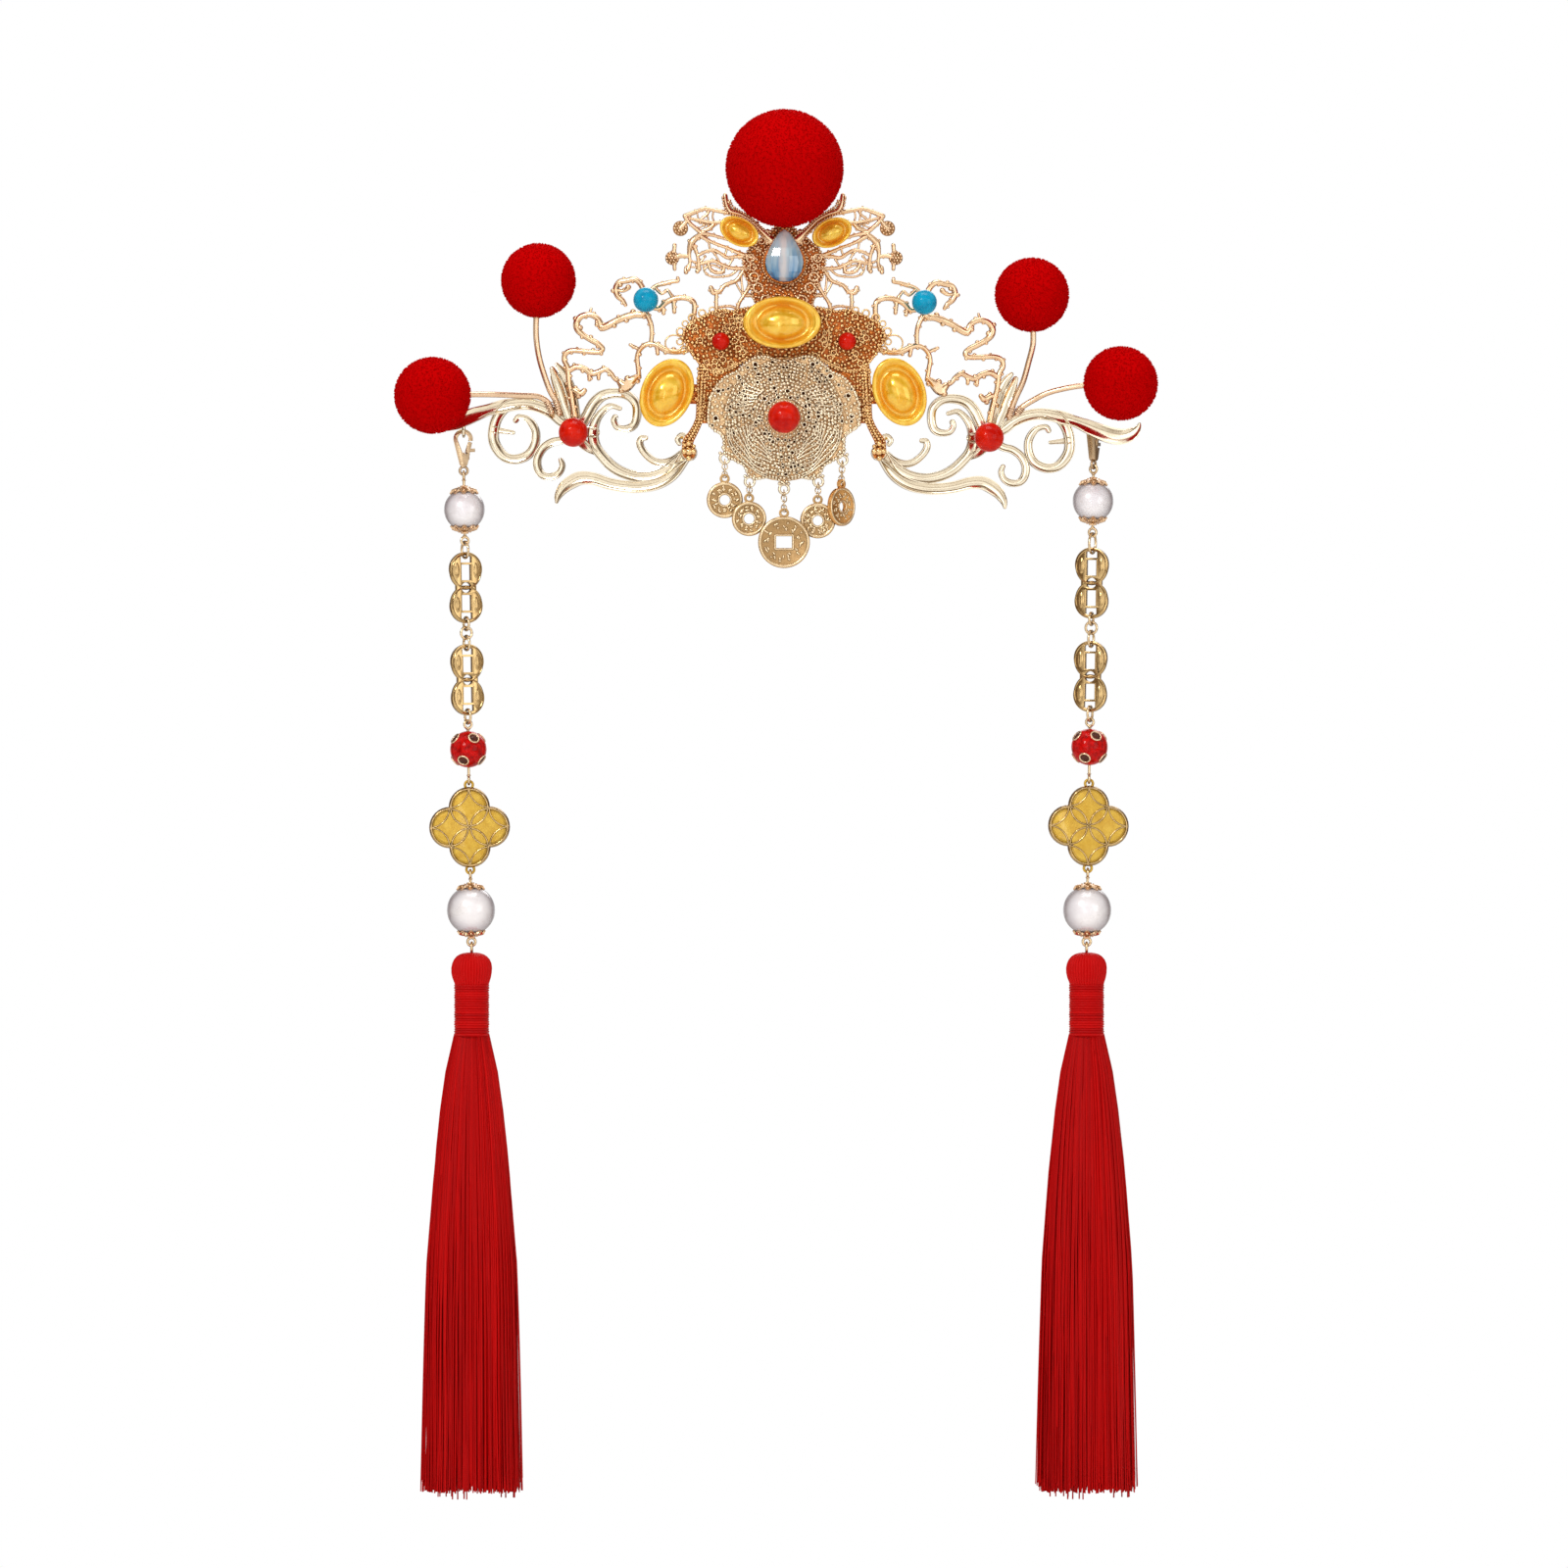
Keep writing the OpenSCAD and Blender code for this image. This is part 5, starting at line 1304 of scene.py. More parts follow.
# %% The crest's plate and filigree
crest_core = both_sides([
    (0, 43.2), (-1.5, 42.9), (-4, 40.6), (-6.5, 38.6), (-9, 36.5), (-10.6, 33.5), (-10.2, 30), (-8.6, 27),
    (-7.4, 23), (-7, 15), (0, 14.5),
])
crest_strokes = [
    [
        (3, 38.5, 3), (6.25, 41.6, 1.9), (8.75, 44, 1.8), (11.4, 45.4, 1.8), (13.75, 46.2, 1.8), (14.7, 48.2, 1.6),
        (15, 50.2, 1.2),
    ],
    [(14, 45.8, 1.4), (17.25, 46.3, 1), (20, 46.8, 1), (22.5, 46, 1.1), (25.2, 44.9, 1.4)],
    [(25.2, 44.9, 1.4), (24.25, 43.4, 1.1), (22.75, 42, 1.1), (21.25, 40.75, 1.3)],
    [(24.5, 44.4, 0.8), (21.5, 43.8, 0.8), (18, 43.2, 0.9), (14.2, 43.6, 1.1)],
    [(21.3, 44, 0.7), (19.5, 45.5, 0.7), (19.2, 46.6, 0.7)],
    [(21, 41.2, 0.8), (19.2, 41.7, 1.3), (17.8, 42.9, 1.2)],
    [(24.9, 43.6, 1.2), (26.4, 41.75, 1.6)],
    [(21.25, 40.6, 1.4), (18, 40, 0.9), (14.5, 39, 0.9), (10, 38.2, 1.2), (6, 36, 1.4)],
    [(21.25, 39.8, 1.2), (18, 38.1, 0.9), (14.5, 36.8, 0.9), (10.75, 35.2, 1.2), (7, 34, 1.4)],
    [(21.4, 40.2, 1.3), (23.5, 38.25, 1.8), (24.2, 35.5, 1.1), (24, 33, 0.9), (24.5, 31.3, 1.3)],
    [(23, 37.4, 1.2), (22, 34.5, 0.9), (21.75, 31.4, 1.4)],
    [
        (21.9, 34.9, 0.9), (19.8, 35.9, 0.9), (17.8, 36.2, 0.9), (16.2, 35.4, 0.9), (14.4, 34.3, 1), (12, 34.6, 1),
        (9, 34.5, 1.4),
    ],
    [(21.8, 32.6, 0.8), (19.5, 33.2, 1), (17.5, 33.4, 1), (15.6, 32.4, 1), (13, 31.6, 1), (9, 31.5, 1.3)],
    [(19.4, 33.2, 1), (18.9, 31.6, 1), (17.4, 30.5, 1), (15.6, 30.7, 1), (15.4, 32.4, 1)],
    [(24.2, 34.6, 1), (26.2, 34.7, 1.1), (27.6, 34.4, 1.4)],
    [(28.1, 35, 1), (27.9, 37.5, 1.1)],
    [(28.2, 34, 1.2), (28, 32.6, 1), (27.9, 31.4, 1)],
    [
        (9, 32, 1.2), (10.6, 30.6, 1.1), (12.2, 28.4, 1.1), (15, 27.3, 1.1), (16.4, 25.7, 1.2), (18, 25.4, 1.4),
        (18.6, 26.6, 1.3),
    ],
    [(17.2, 25.6, 1.1), (17.3, 23, 1), (17.2, 19, 1.4)],
    [(8.5, 27.5, 1.2), (10, 25, 1), (11.6, 22.4, 1), (12, 19.5, 1.4)],
    [(6.5, 24, 1), (8.5, 24.6, 0.9), (10.2, 24.6, 0.9)],
]
crest_fine = [
    [(13.2, 33.8, 0.6), (14.2, 32.2, 0.6), (16, 31.6, 0.6), (18, 32.4, 0.6), (19.6, 32, 0.6), (20.4, 31.1, 0.6)],
    [
        (11.6, 31.5, 0.7), (13.5, 29.9, 0.7), (15.5, 29.5, 0.6), (18, 29.4, 0.6), (19.7, 30.1, 0.6),
        (20.4, 31.2, 0.6), (20.6, 32.8, 0.6),
    ],
    [(14.8, 37, 0.6), (14.7, 36, 0.6), (15.2, 34.6, 0.6)],
    [(19.2, 38.4, 0.6), (18.8, 36.4, 0.6), (17.6, 35.2, 0.6), (16.6, 33.4, 0.6)],
    [(21.9, 31.8, 0.6), (23.4, 31.9, 0.5), (25, 31.8, 0.6), (25, 30.6, 1.2)],
    [(22, 31.8, 0.8), (22.1, 30.8, 1.2)],
    [(20.2, 34.6, 0.6), (21.4, 33.2, 0.6), (22.8, 33.1, 0.6), (24.2, 33.9, 0.6)],
    [(18.9, 41.6, 0.5), (19.2, 43.2, 0.5), (19.7, 46.4, 0.5)],
    [(19.3, 42.6, 0.5), (21.6, 43.3, 0.5), (24, 44.4, 0.5)],
    [(17.4, 42.8, 0.5), (18.2, 44.4, 0.5), (18.0, 46.2, 0.5)],
    [(21.4, 43.2, 0.45), (22, 44.8, 0.45), (22.2, 46, 0.45)],
    [(20.4, 42.6, 0.45), (21.8, 41.9, 0.45), (22.8, 42.2, 0.45)],
    [(9.2, 31.6, 0.7), (8.7, 29, 0.7), (9.4, 26.2, 0.7)],
    [(10.6, 31.4, 0.6), (10.9, 29, 0.6), (10.5, 25.4, 0.6)],
    [(7.4, 23.5, 0.7), (8.6, 24.9, 0.7), (10.2, 25, 0.7), (10.9, 23.6, 0.7), (11.8, 22.2, 0.7)],
    [(10.6, 25, 0.6), (11.6, 26.6, 0.6), (12.4, 28.2, 0.6)],
    [(12.1, 21.4, 0.8), (13.6, 21.9, 0.8), (15, 21.9, 0.7), (17.2, 21.6, 0.7)],
    [(6.5, 25.8, 0.6), (7.4, 26.4, 0.6), (9.3, 26.2, 0.6)],
]
chance = random.Random(21)
fine_tubes = swept([round_ends(smooth_rows(rows, 3)) for rows in crest_fine], fine_wire, 1)
dots = knobs_on(crest_strokes, chance, 1.25)
dots += [at(x, z, 0, 0.9) for rows in crest_fine for x, z, w in rows[::2]]
MUSHROOM, TIP = (28.5, 34.2), (26.4, 41.75)
mushroom = turned([(0, -0.6), (1.2, -0.6), (1.75, -0.2), (1.8, 0.2), (1.2, 0.62), (0, 0.8)], 28)
tip_disc = turned([(0, -0.5), (1.7, -0.5), (1.95, -0.2), (1.95, 0.25), (0, 0.45)], 28)
for (x, z), height in ((MUSHROOM, 0.65), (TIP, 0.35)):
    dots.append(at(x, z, height, 0.8))
    for count, radius, drop in ((6, 0.72, 0.05), (11, 1.45, 0.28)):
        dots += [at(x + dx, z + dz, height - drop, 0.7) for dx, dz in around_circle(count, radius)]
half = join([cast(crest_strokes, wire, thickest=9), fine_tubes, scattered(ball(0.52), dots)])
filigree = join([half, place(copy_of(half), MIRROR)])
discs = join([place(mushroom, at(*MUSHROOM)), place(tip_disc, at(*TIP))])
discs = join([discs, place(copy_of(discs), MIRROR)])

# %% Granules on the crest
def on_both(places):
    return [(x * s, z) for s in (1, -1) for x, z in places]


outer_edge = [(3, 39.6), (6.25, 42.4), (8.75, 44.7), (11.4, 46.2), (13.2, 47.4), (14, 49.4)]
inner_edge = [(4.4, 38.8), (7.2, 41.4), (9.4, 43.4), (11.8, 44.7), (14.4, 45.7), (15.4, 47.8), (15.6, 50)]
lace = [(3.7, 39.4), (6.8, 41.9), (9.2, 44.0), (11.6, 45.4), (13.9, 46.6), (14.8, 48.8), (15.1, 50)]
pear_gap = [(0.1, 32.9, 5.2), (0.1, 37.5, 3.6), (0.1, 39.5, 2.2)]
granules = [at(x, z, 0.66, chance.uniform(0.85, 1.35)) for x, z in far_apart(crest_core, 0.8, chance, 16000, pear_gap)]
granules += [at(x, z, 0.62) for x, z in on_both(along(outer_edge, 0.72)) + on_both(along(inner_edge, 0.72))]
granules += [at(x, z, 0.5) for x, z in along(crest_core + crest_core[:1], 0.86)]
crest_coils = [
    (7.6, 29.4, 1.1), (6.6, 26.6, 1.2), (8.6, 34.2, 1.0), (5.6, 38.6, 0.8), (4.6, 23.4, 1.2), (7.9, 31.9, 0.8),
]
coils = [at(s * x, z, 0.72, size) for s in (1, -1) for x, z, size in crest_coils]
coils += [at(x, z, 0.35, 0.6) for x, z in on_both(along(lace, 1.25))]
stand = at(0, 0.8, 0) @ UPRIGHT
finish(place(discs, stand), "crest_plate_discs", disc_gold, 50)
finish(place(sheet_of(crest_core, 1.2), stand), "crest_plate_core", rose_granules, 50)
covered = join([filigree, scattered(ball(0.38), granules), scattered(ring(1.0, 0.5, tilt=0, sides=18), coils)])
post = place(rod(0.75, 9, sides=16), at(0.05, -1.0, 46.4) @ turn_by(29, "X"))
finish(join([place(covered, stand), post]), "crest_plate_filigree", rose, 60)


# %% [markdown]
# ## The granulated base plate
#
# The base plate carries everything in the middle. Its two clusters are crusted with
# granules, tiny rings and short coils, in a deep coppery gold. The plate itself is the
# frame's, with a soft edge. The crust is scattered by a seeded dice that keeps its pieces
# apart, and a chain of granules runs round every edge.

# %% The plate and its crust
base_cluster = both_sides([
    (0, 21.5), (-9, 21.5), (-13.75, 20.5), (-16.25, 21), (-19.5, 20), (-22, 18.7), (-24.25, 17.5), (-25.75, 15.5),
    (-26.2, 13.75), (-25, 12), (-24, 10), (-22, 7.5), (-21, 6), (-17.5, 5), (-13.8, 5.6), (-11.25, 7),
    (-8.75, 8.5), (0, 7.5),
])
arm = [
    (20.5, 6.5, 2.6), (21, 2, 2.4), (21.3, -2.5, 2.2), (21.6, -7, 2), (23.2, -10.5, 2.2), (24.6, -13, 2.8),
    (24.25, -15.5, 3.4),
]
arm = smooth_rows(arm, 6)
# These tables hold x, z and size; the seams hold x and z. The left side mirrors them.
edge_loops = [
    (23.4, 18.9, 1.5), (25.2, 17.4, 1.2), (26.4, 15.4, 1.5), (26.6, 12.8, 1.2), (25.5, 10.8, 1.4), (18.3, 20.9, 1.2),
    (20.9, 20.1, 1.4),
]
foot_knots = [
    (24.3, -13.2, 1.9), (25.4, -15.2, 1.9), (23.1, -15.2, 2.0), (24.3, -16.9, 1.9), (24.2, -15.2, 2.6),
    (23.0, -13.9, 1.3), (25.3, -13.6, 1.2),
]
lone_beads = [(22.5, 0.6), (22.5, -1.8), (24.4, 1.1), (24.6, -2.2), (33, 1.2), (33.2, -1.6), (31, 2), (31, -2.4)]
lower_seam = [(9.0, 8.8), (11.6, 7.4), (14, 6.1), (17.5, 5.5), (20.8, 6.5), (23.4, 9.6)]
inner_seam = [(8.6, 20.9), (11, 17.5), (11.4, 13.5), (9.6, 9.6)]
CORAL_X, CORAL_Z = 16.1, 12.8
BASE_FRONT = -1.2
finish(bevelled("base_plate", 0.15, 2, 50), "base_plate_blank", rose_granules, 50)
chance = random.Random(33)
beads, loops, knots, seams, cups = [], [], [], [], []
kept_clear = [(CORAL_X, CORAL_Z, 2.9), (-CORAL_X, CORAL_Z, 2.9), (-0.5, 17.3, 4)]
for x, z in far_apart(base_cluster, 0.86, chance, 30000, kept_clear):
    if chance.random() < 0.13 and inside(x * 1.06, z, base_cluster):
        loops.append(at(x, z, 0.22, chance.uniform(0.8, 1.25)))
        beads.append(at(x, z, 0.15, 0.55))
    else:
        beads.append(at(x, z, chance.uniform(0.0, 0.25), chance.uniform(0.75, 1.45)))
beads += [at(x * 0.985, z, -0.1, 1.15) for x, z in along(base_cluster + base_cluster[:1], 0.85)]
for s in (1, -1):
    loops += [at(s * x, z, -0.5, size) for x, z, size in edge_loops]
    knots += [at(s * x, z, 0.2, size) for x, z, size in foot_knots]
    beads += [at(s * x, z, 0.15, 1.5) for x, z in lone_beads]
    beads += [at(s * CORAL_X + x, CORAL_Z + z, 0.25, 1.2) for x, z in around_circle(13, 2.5)]
    for offset in (-0.36, 0, 0.36):
        row = along([(s * (x + offset * w), z) for x, z, w in arm], 0.8)
        beads += [at(x, z, 0.05, 0.95 if offset else 1.3) for x, z in row]
    for x in (17.0, 17.8, 18.6, 19.4, 20.2, 21.0, 21.8):
        for z in [5.6 - 0.82 * k for k in range(17)]:
            here = (s * (x + chance.uniform(-0.2, 0.2)), z + chance.uniform(-0.3, 0.3))
            beads.append(at(*here, 0.1, chance.uniform(0.7, 1.2)))
    seams.append([(s * x, z, 0.05, 0.5) for x, z in lower_seam])
    seams.append([(s * x, z, 0.1, 0.5) for x, z in inner_seam])
    seams.append([(s * (28 + 2.3 * x), 12.4 + 2.1 * z, -0.3, 0.42) for x, z in around_circle(16) + [(1, 0)]])
    cups.append(place(bead_cup(4.5, 0.2, 28), at(s * CORAL_X, CORAL_Z)))
crust = [scattered(ball(0.4), beads), scattered(ring(0.62, 0.34, tilt=0, sides=14), loops)]
crust += [scattered(ball(0.42, segments=12), knots), swept(seams, wire), *cups]
finish(place(join(crust), at(0, BASE_FRONT, 0) @ UPRIGHT), "base_plate_crust", crust_gold, 60)
for side, s in SIDES.items():
    bead = ball(2.25, (s * CORAL_X, BASE_FRONT - 0.2 - 2.25, CORAL_Z), 40)
    finish(bead, f"coral_small_{side}_bead", coral, 80)

# %% [markdown]
# ## The medallion
#
# The medallion is a domed disc with a scalloped edge. Rings of granules run round its
# bead, fine wires are combed down its lower flanks, and pin-holes dot its dome and its
# flat border, each a ring of granules round a dark disc of painted shade.
# The dome comes off the lathe with a low step at each ring. The granules are real balls,
# small enough that only a few dozen faces are needed for each.

# %% Dome and scalloped border
medallion_half = [
    (0, 7.4), (-2.5, 8.25), (-5, 9), (-7.5, 8.75), (-10, 7), (-12.5, 5), (-15, 4), (-17, 2), (-18.5, -0.5),
    (-19.3, -3), (-19.6, -6.25), (-19.25, -8.5), (-17.6, -9.9), (-15.8, -11.25), (-15.5, -13.75), (-15.2, -16),
    (-12.8, -17.4), (-10.3, -18.8), (-9.4, -20.8), (-7.5, -22.2), (-3.75, -21.7), (-1.25, -22.5), (0, -23.6),
]
scallops = both_sides(smooth_rows(medallion_half, 3))
DOME_H, DOME_Z = 4.2, -7
DOME_BALL = (15.5**2 + DOME_H**2) / (2 * DOME_H)
PLATE_Y, BORDER_Y = -2.4, -1.9
MEDAL_FRONT = at(0, PLATE_Y, 0) @ UPRIGHT


def dome_height(r):
    return DOME_H - DOME_BALL + sqrt(DOME_BALL**2 - r**2)


def on_dome(r, angle, lift=0.0, size=1.0):
    """A matrix on the dome, leaning outwards with its surface."""
    lean = Matrix.Rotation(angle, 4, "Z") @ Matrix.Rotation(asin(r / DOME_BALL), 4, "Y")
    return MEDAL_FRONT @ at(0, DOME_Z, DOME_H - DOME_BALL) @ lean @ at(0, 0, DOME_BALL + lift, size)


profile = [(r, dome_height(r) - 0.1) for r in (0, 3)]
for r in [4 + 11.5 * i / 35 for i in range(36)]:
    profile.append((r, dome_height(r) - 0.12 + 0.07 * cos(tau * r / 1.6)))
profile += [(15.75, -0.25), (15.75, -0.9), (14.6, -0.6)]
profile += [(r, dome_height(r) - 0.9) for r in (13.5, 11, 8, 5, 2.5, 0)]
dome = place(turned(profile, 96), MEDAL_FRONT @ at(0, DOME_Z))
border = place(sheet_of(scallops, 1.0, 0.2), at(0, BORDER_Y, 0) @ UPRIGHT)
coin_eyes = [(-15.1, -17), (-8.75, -22.9), (0, -24.8), (8.75, -22.9), (14.9, -17.4)]
eyes = [ring(1.2, 0.72, (x, BORDER_Y, z), sides=24) for x, z in coin_eyes]
finish(join([dome, border]), "medallion_plate", dome_gold, 50)

# %% Granules, combed wires and pin-holes
def combed_here(r, angle):
    lower = abs(degrees(angle) % 360 - 270)
    return 24 < lower < 74 and 8.4 < r < 15.3


def wire_on_dome(places, lift, width):
    return [(*(on_dome(r, radians(angle), lift).translation / MM), width) for r, angle in places]


chance = random.Random(4)
fine, coarse, combed, holes = [], [on_dome(4.5, tau * i / 26, 0.1, 0.62) for i in range(26)], [], []
for r in [5.5 + 0.85 * k for k in range(12)]:
    count = round(tau * r / 0.95)
    for i in range(count):
        angle = tau * (i + chance.uniform(-0.22, 0.22)) / count + r
        here = r + chance.uniform(-0.16, 0.16)
        if combed_here(here, angle):
            fine.append(on_dome(here, angle, -0.08, chance.uniform(0.6, 0.9)))
        elif chance.random() < (0.4 if r < 7 else 0.16):
            holes.append(on_dome(here, angle, 0.0, chance.uniform(0.8, 1.4)))
        else:
            fine.append(on_dome(here, angle, -0.04, chance.uniform(0.75, 1.2)))
tenths, sixths = [i / 10 for i in range(11)], [i / 6 for i in range(7)]
for s in (1, -1):
    for k in range(9):
        wavy = [min(8.3 + 0.86 * k + 0.35 * sin(3 * pi * t + k), 15.2) for t in tenths]
        combed.append(wire_on_dome([(r, 270 + s * (18 + 62 * t)) for r, t in zip(wavy, tenths)], 0.1, 0.42))
    for k in range(8):
        bent = [90 - s * (38 + 5.5 * k + 9 * sin(pi * t * 0.8)) for t in sixths]
        combed.append(wire_on_dome([(8.8 + 6.2 * t, angle) for t, angle in zip(sixths, bent)], 0.22, 0.34))
for x, z in far_apart(scallops, 1.02, chance, 9000, [(0, DOME_Z, 15.9)]):
    if chance.random() < 0.16:
        holes.append(MEDAL_FRONT @ at(x, z, 0.02))
    else:
        fine.append(MEDAL_FRONT @ at(x, z, -0.04, chance.uniform(0.8, 1.25)))
big_holes = [
    (-7.3, 6.9), (7.3, 6.9), (-3.6, 6.6), (3.6, 6.6), (-11.6, 3.7), (11.8, 3.9), (-16.7, 0.2), (16.4, -1.0),
    (-17.4, -6.8), (17.3, -6.2),
]
holes += [MEDAL_FRONT @ at(x, z, 0.1 if hypot(x, z - DOME_Z) > 15.5 else 0.5, 1.6) for x, z in big_holes]
coarse += [MEDAL_FRONT @ at(x * 0.985, z, -0.12, 0.78) for x, z in along(scallops + scallops[:1], 0.86)]
coarse += [MEDAL_FRONT @ at(x + s * 1.15, z + 1.35, -0.15, 0.8) for x, z in coin_eyes for s in (-1, 1)]
granules = [scattered(ball(0.5), fine), scattered(ball(0.62), coarse)]
granules += [scattered(ring(0.42, 0.26, tilt=0, sides=12), holes), swept(combed, wire, 2)]
finish(join([*eyes, *granules]), "medallion_granules", dome_wire_gold, 60)
# Painted shade: each pin-hole is a dark disc inside its ring of granules.
hole_shade_discs = scattered(turned([(0, 0.1), (0.4, 0.08), (0.4, -0.2), (0, -0.2)], 10), holes)
finish(hole_shade_discs, "medallion_pin_holes", pin_hole_shade, 50, node="medallion")

# %% [markdown]
# The red bead sits in a cup with a string of granules, like the others.

# %% Bead of the medallion
BEAD_R, BEAD_Z = 4.1, DOME_Z + 0.25
cup = place(bead_cup(2 * BEAD_R, 0.2, 40), MEDAL_FRONT @ at(0, BEAD_Z, DOME_H))
finish(cup, "medallion_bead_cup", dome_wire_gold, 50, node="medallion")
bead = ball(BEAD_R, (0, PLATE_Y - DOME_H - 0.2 - BEAD_R, BEAD_Z), 48)
finish(bead, "medallion_bead_ball", coral, 80)

# %% [markdown]
# ## Ingots
#
# An ingot is a little boat: a raised rim, a groove, and a dome in the middle. They were
# cast in resin. The lathe makes one boat with rim radius 1, and each ingot is that boat
# stretched to its own width, height and depth.

# %% Five ingots
boat = [
    (0, 0.0), (0.45, 0.0), (0.62, 0.12), (0.8, 0.36), (0.93, 0.62), (1.0, 0.80), (1.0, 0.88), (0.97, 0.94),
    (0.91, 0.96), (0.85, 0.92), (0.78, 0.82), (0.72, 0.73), (0.67, 0.70), (0.62, 0.75), (0.56, 0.85),
    (0.46, 0.97), (0.34, 1.07), (0.2, 1.13), (0.08, 1.155), (0, 1.16),
]
# Each ingot has its x, z, width, height, depth, turn and the y of its back.
ingots = {
    "center": (-0.5, 17.5, 19.8, 13.3, 6, 0, -1.4),
    "left": (-29.85, -0.4, 13.1, 18.0, 5.6, -23, -1.4), "right": (29.4, -0.2, 13.1, 18.0, 5.6, 23, -1.4),
    "top_left": (-11.4, 40.8, 10.6, 7.2, 3.8, -28, 0), "top_right": (12.2, 40.5, 10.6, 7.2, 3.8, 24, 0),
}
master = turned([(r * 10, h * 10) for r, h in boat], 72)
for name, (x, z, width, height, depth, turn, back) in ingots.items():
    piece = copy_of(master)
    piece.scale = (width / 20, height / 20, depth / 10)
    settle(piece)
    for vertex in piece.data.vertices:
        r = hypot(vertex.co.x / width, vertex.co.y / height) / MM * 2
        angle = atan2(vertex.co.y, vertex.co.x)
        swell = 0.035 * sin(2 * angle + x) + 0.008 * sin(5 * angle + z)
        vertex.co.z *= 1 + swell * min(1, r)
    stand = at(x, back, z) @ turn_by(-turn, "Y") @ UPRIGHT
    finish(place(piece, stand), f"ingot_{name}_cast", lacquer, 70)
put_away(master)

# %% [markdown]
# ## The crystal
#
# The crystal is a pear-shaped stone with flat facets. The lathe turns a pear with few
# steps, so its sides are flat, and its tip is pulled up. It stays flat-shaded. The bezel
# is the frame's, with claws of granules round it.

# %% Stone and bezel
PEAR_X, PEAR_Z = 0.1, 32.9
pear = [
    (0, -4.6), (1.5, -4.35), (3.0, -3.5), (4.1, -2.1), (4.6, 0), (4.35, 1.6), (3.6, 3.5), (2.5, 5.4), (1.2, 7.3),
    (0, 8.1),
]
stone = turned(pear, 12)
stone.rotation_euler = (0, 0, radians(15))
settle(stone)
stone.scale = (1.09, 0.62, 1.07)
settle(stone)
with editing(stone):
    bpy.ops.mesh.bisect(plane_co=(0, 1.2 * MM, 0), plane_no=(0, 1, 0), use_fill=True, clear_outer=True)
finish(place(stone, at(PEAR_X, -2.6, PEAR_Z - 0.1)), "crystal_faceted", crystal_glass, 4)
bezel = bevelled("crystal_setting", 0.12, 2, 50)
foil = both_sides([(0, 7.7), (-2.3, 5.2), (-4.1, 2.3), (-4.4, 0), (-3.9, -2.2), (-2.4, -3.8), (0, -4.5)])
foil = place(sheet_of(foil, 0.1, 0.03), at(PEAR_X, -0.93, PEAR_Z) @ UPRIGHT)
finish(join([bezel, foil]), "crystal_setting_cup", rose_granules, 45)
touch = pi - acos(4.6 / 8.1)
half_pear = [(5.6 * sin(touch * k / 20), -5.6 * cos(touch * k / 20)) for k in range(21)] + [(0.0, 9.5)]
chain = [at(PEAR_X + s * x, PEAR_Z + z, 0.25) for s in (1, -1) for x, z in along(half_pear, 0.74)]
finish(place(scattered(ball(0.4), chain), UPRIGHT), "crystal_setting_beaded", rose, 45)

# %% [markdown]
# ## Pompoms and their stems
#
# A pompom is thousands of short fibres that stand out from a ball, cut so close that it
# looks like velvet. A ball with a fine nap carries the colour, and small closed tufts
# stand on it so that the outline is soft. The tufts are laid out on a spiral, which
# spreads them evenly, and a seeded dice leans each one.

# %% Pompoms
# Each pompom has its x, y, z and diameter.
pompoms = {
    "top": (0.15, -7, 56.75, 30.2), "left_upper": (-62.8, 7, 28.75, 19.3), "left_outer": (-89.8, 4, -0.7, 19.8),
    "right_upper": (63.4, 7, 25.1, 19.2), "right_outer": (86, 4, 2.35, 19.2),
}
GOLDEN_ANGLE = 2.399963
tuft = turned([(0, -0.2), (0.18, 0.08), (0, 0.34)], 4)
for name, (x, y, z, diameter) in pompoms.items():
    chance = random.Random(name)
    r = diameter / 2
    count = round((6500 if name == "top" else 2900) * (1))
    spots = []
    for i in range(count):
        up = 1 - 2 * (i + 0.5) / count
        flat = sqrt(1 - up * up)
        away = Vector((flat * cos(GOLDEN_ANGLE * i), flat * sin(GOLDEN_ANGLE * i), up))
        away = (away + Vector([chance.gauss(0, 0.3 / r) for _ in range(3)])).normalized()
        lean = (away + Vector([chance.gauss(0, 0.1) for _ in range(3)])).normalized()
        size = Matrix.Scale(chance.uniform(0.8, 1.25), 4)
        spots.append(Matrix.Translation(away * (r - 0.3) * MM) @ facing(lean) @ size)
    tufts = scattered(copy_of(tuft), spots)
    core = ball(r - 0.3, segments=72)
    for vertex in core.data.vertices:
        away = vertex.co.normalized()
        vertex.co *= 1 + 0.006 * sin(31 * away.x + 3) * sin(29 * away.y) * sin(33 * away.z + 1)
    finish(place(join([tufts, core]), at(x, y, z)), f"pompom_{name}_yarn", yarn, 80)
put_away(tuft)
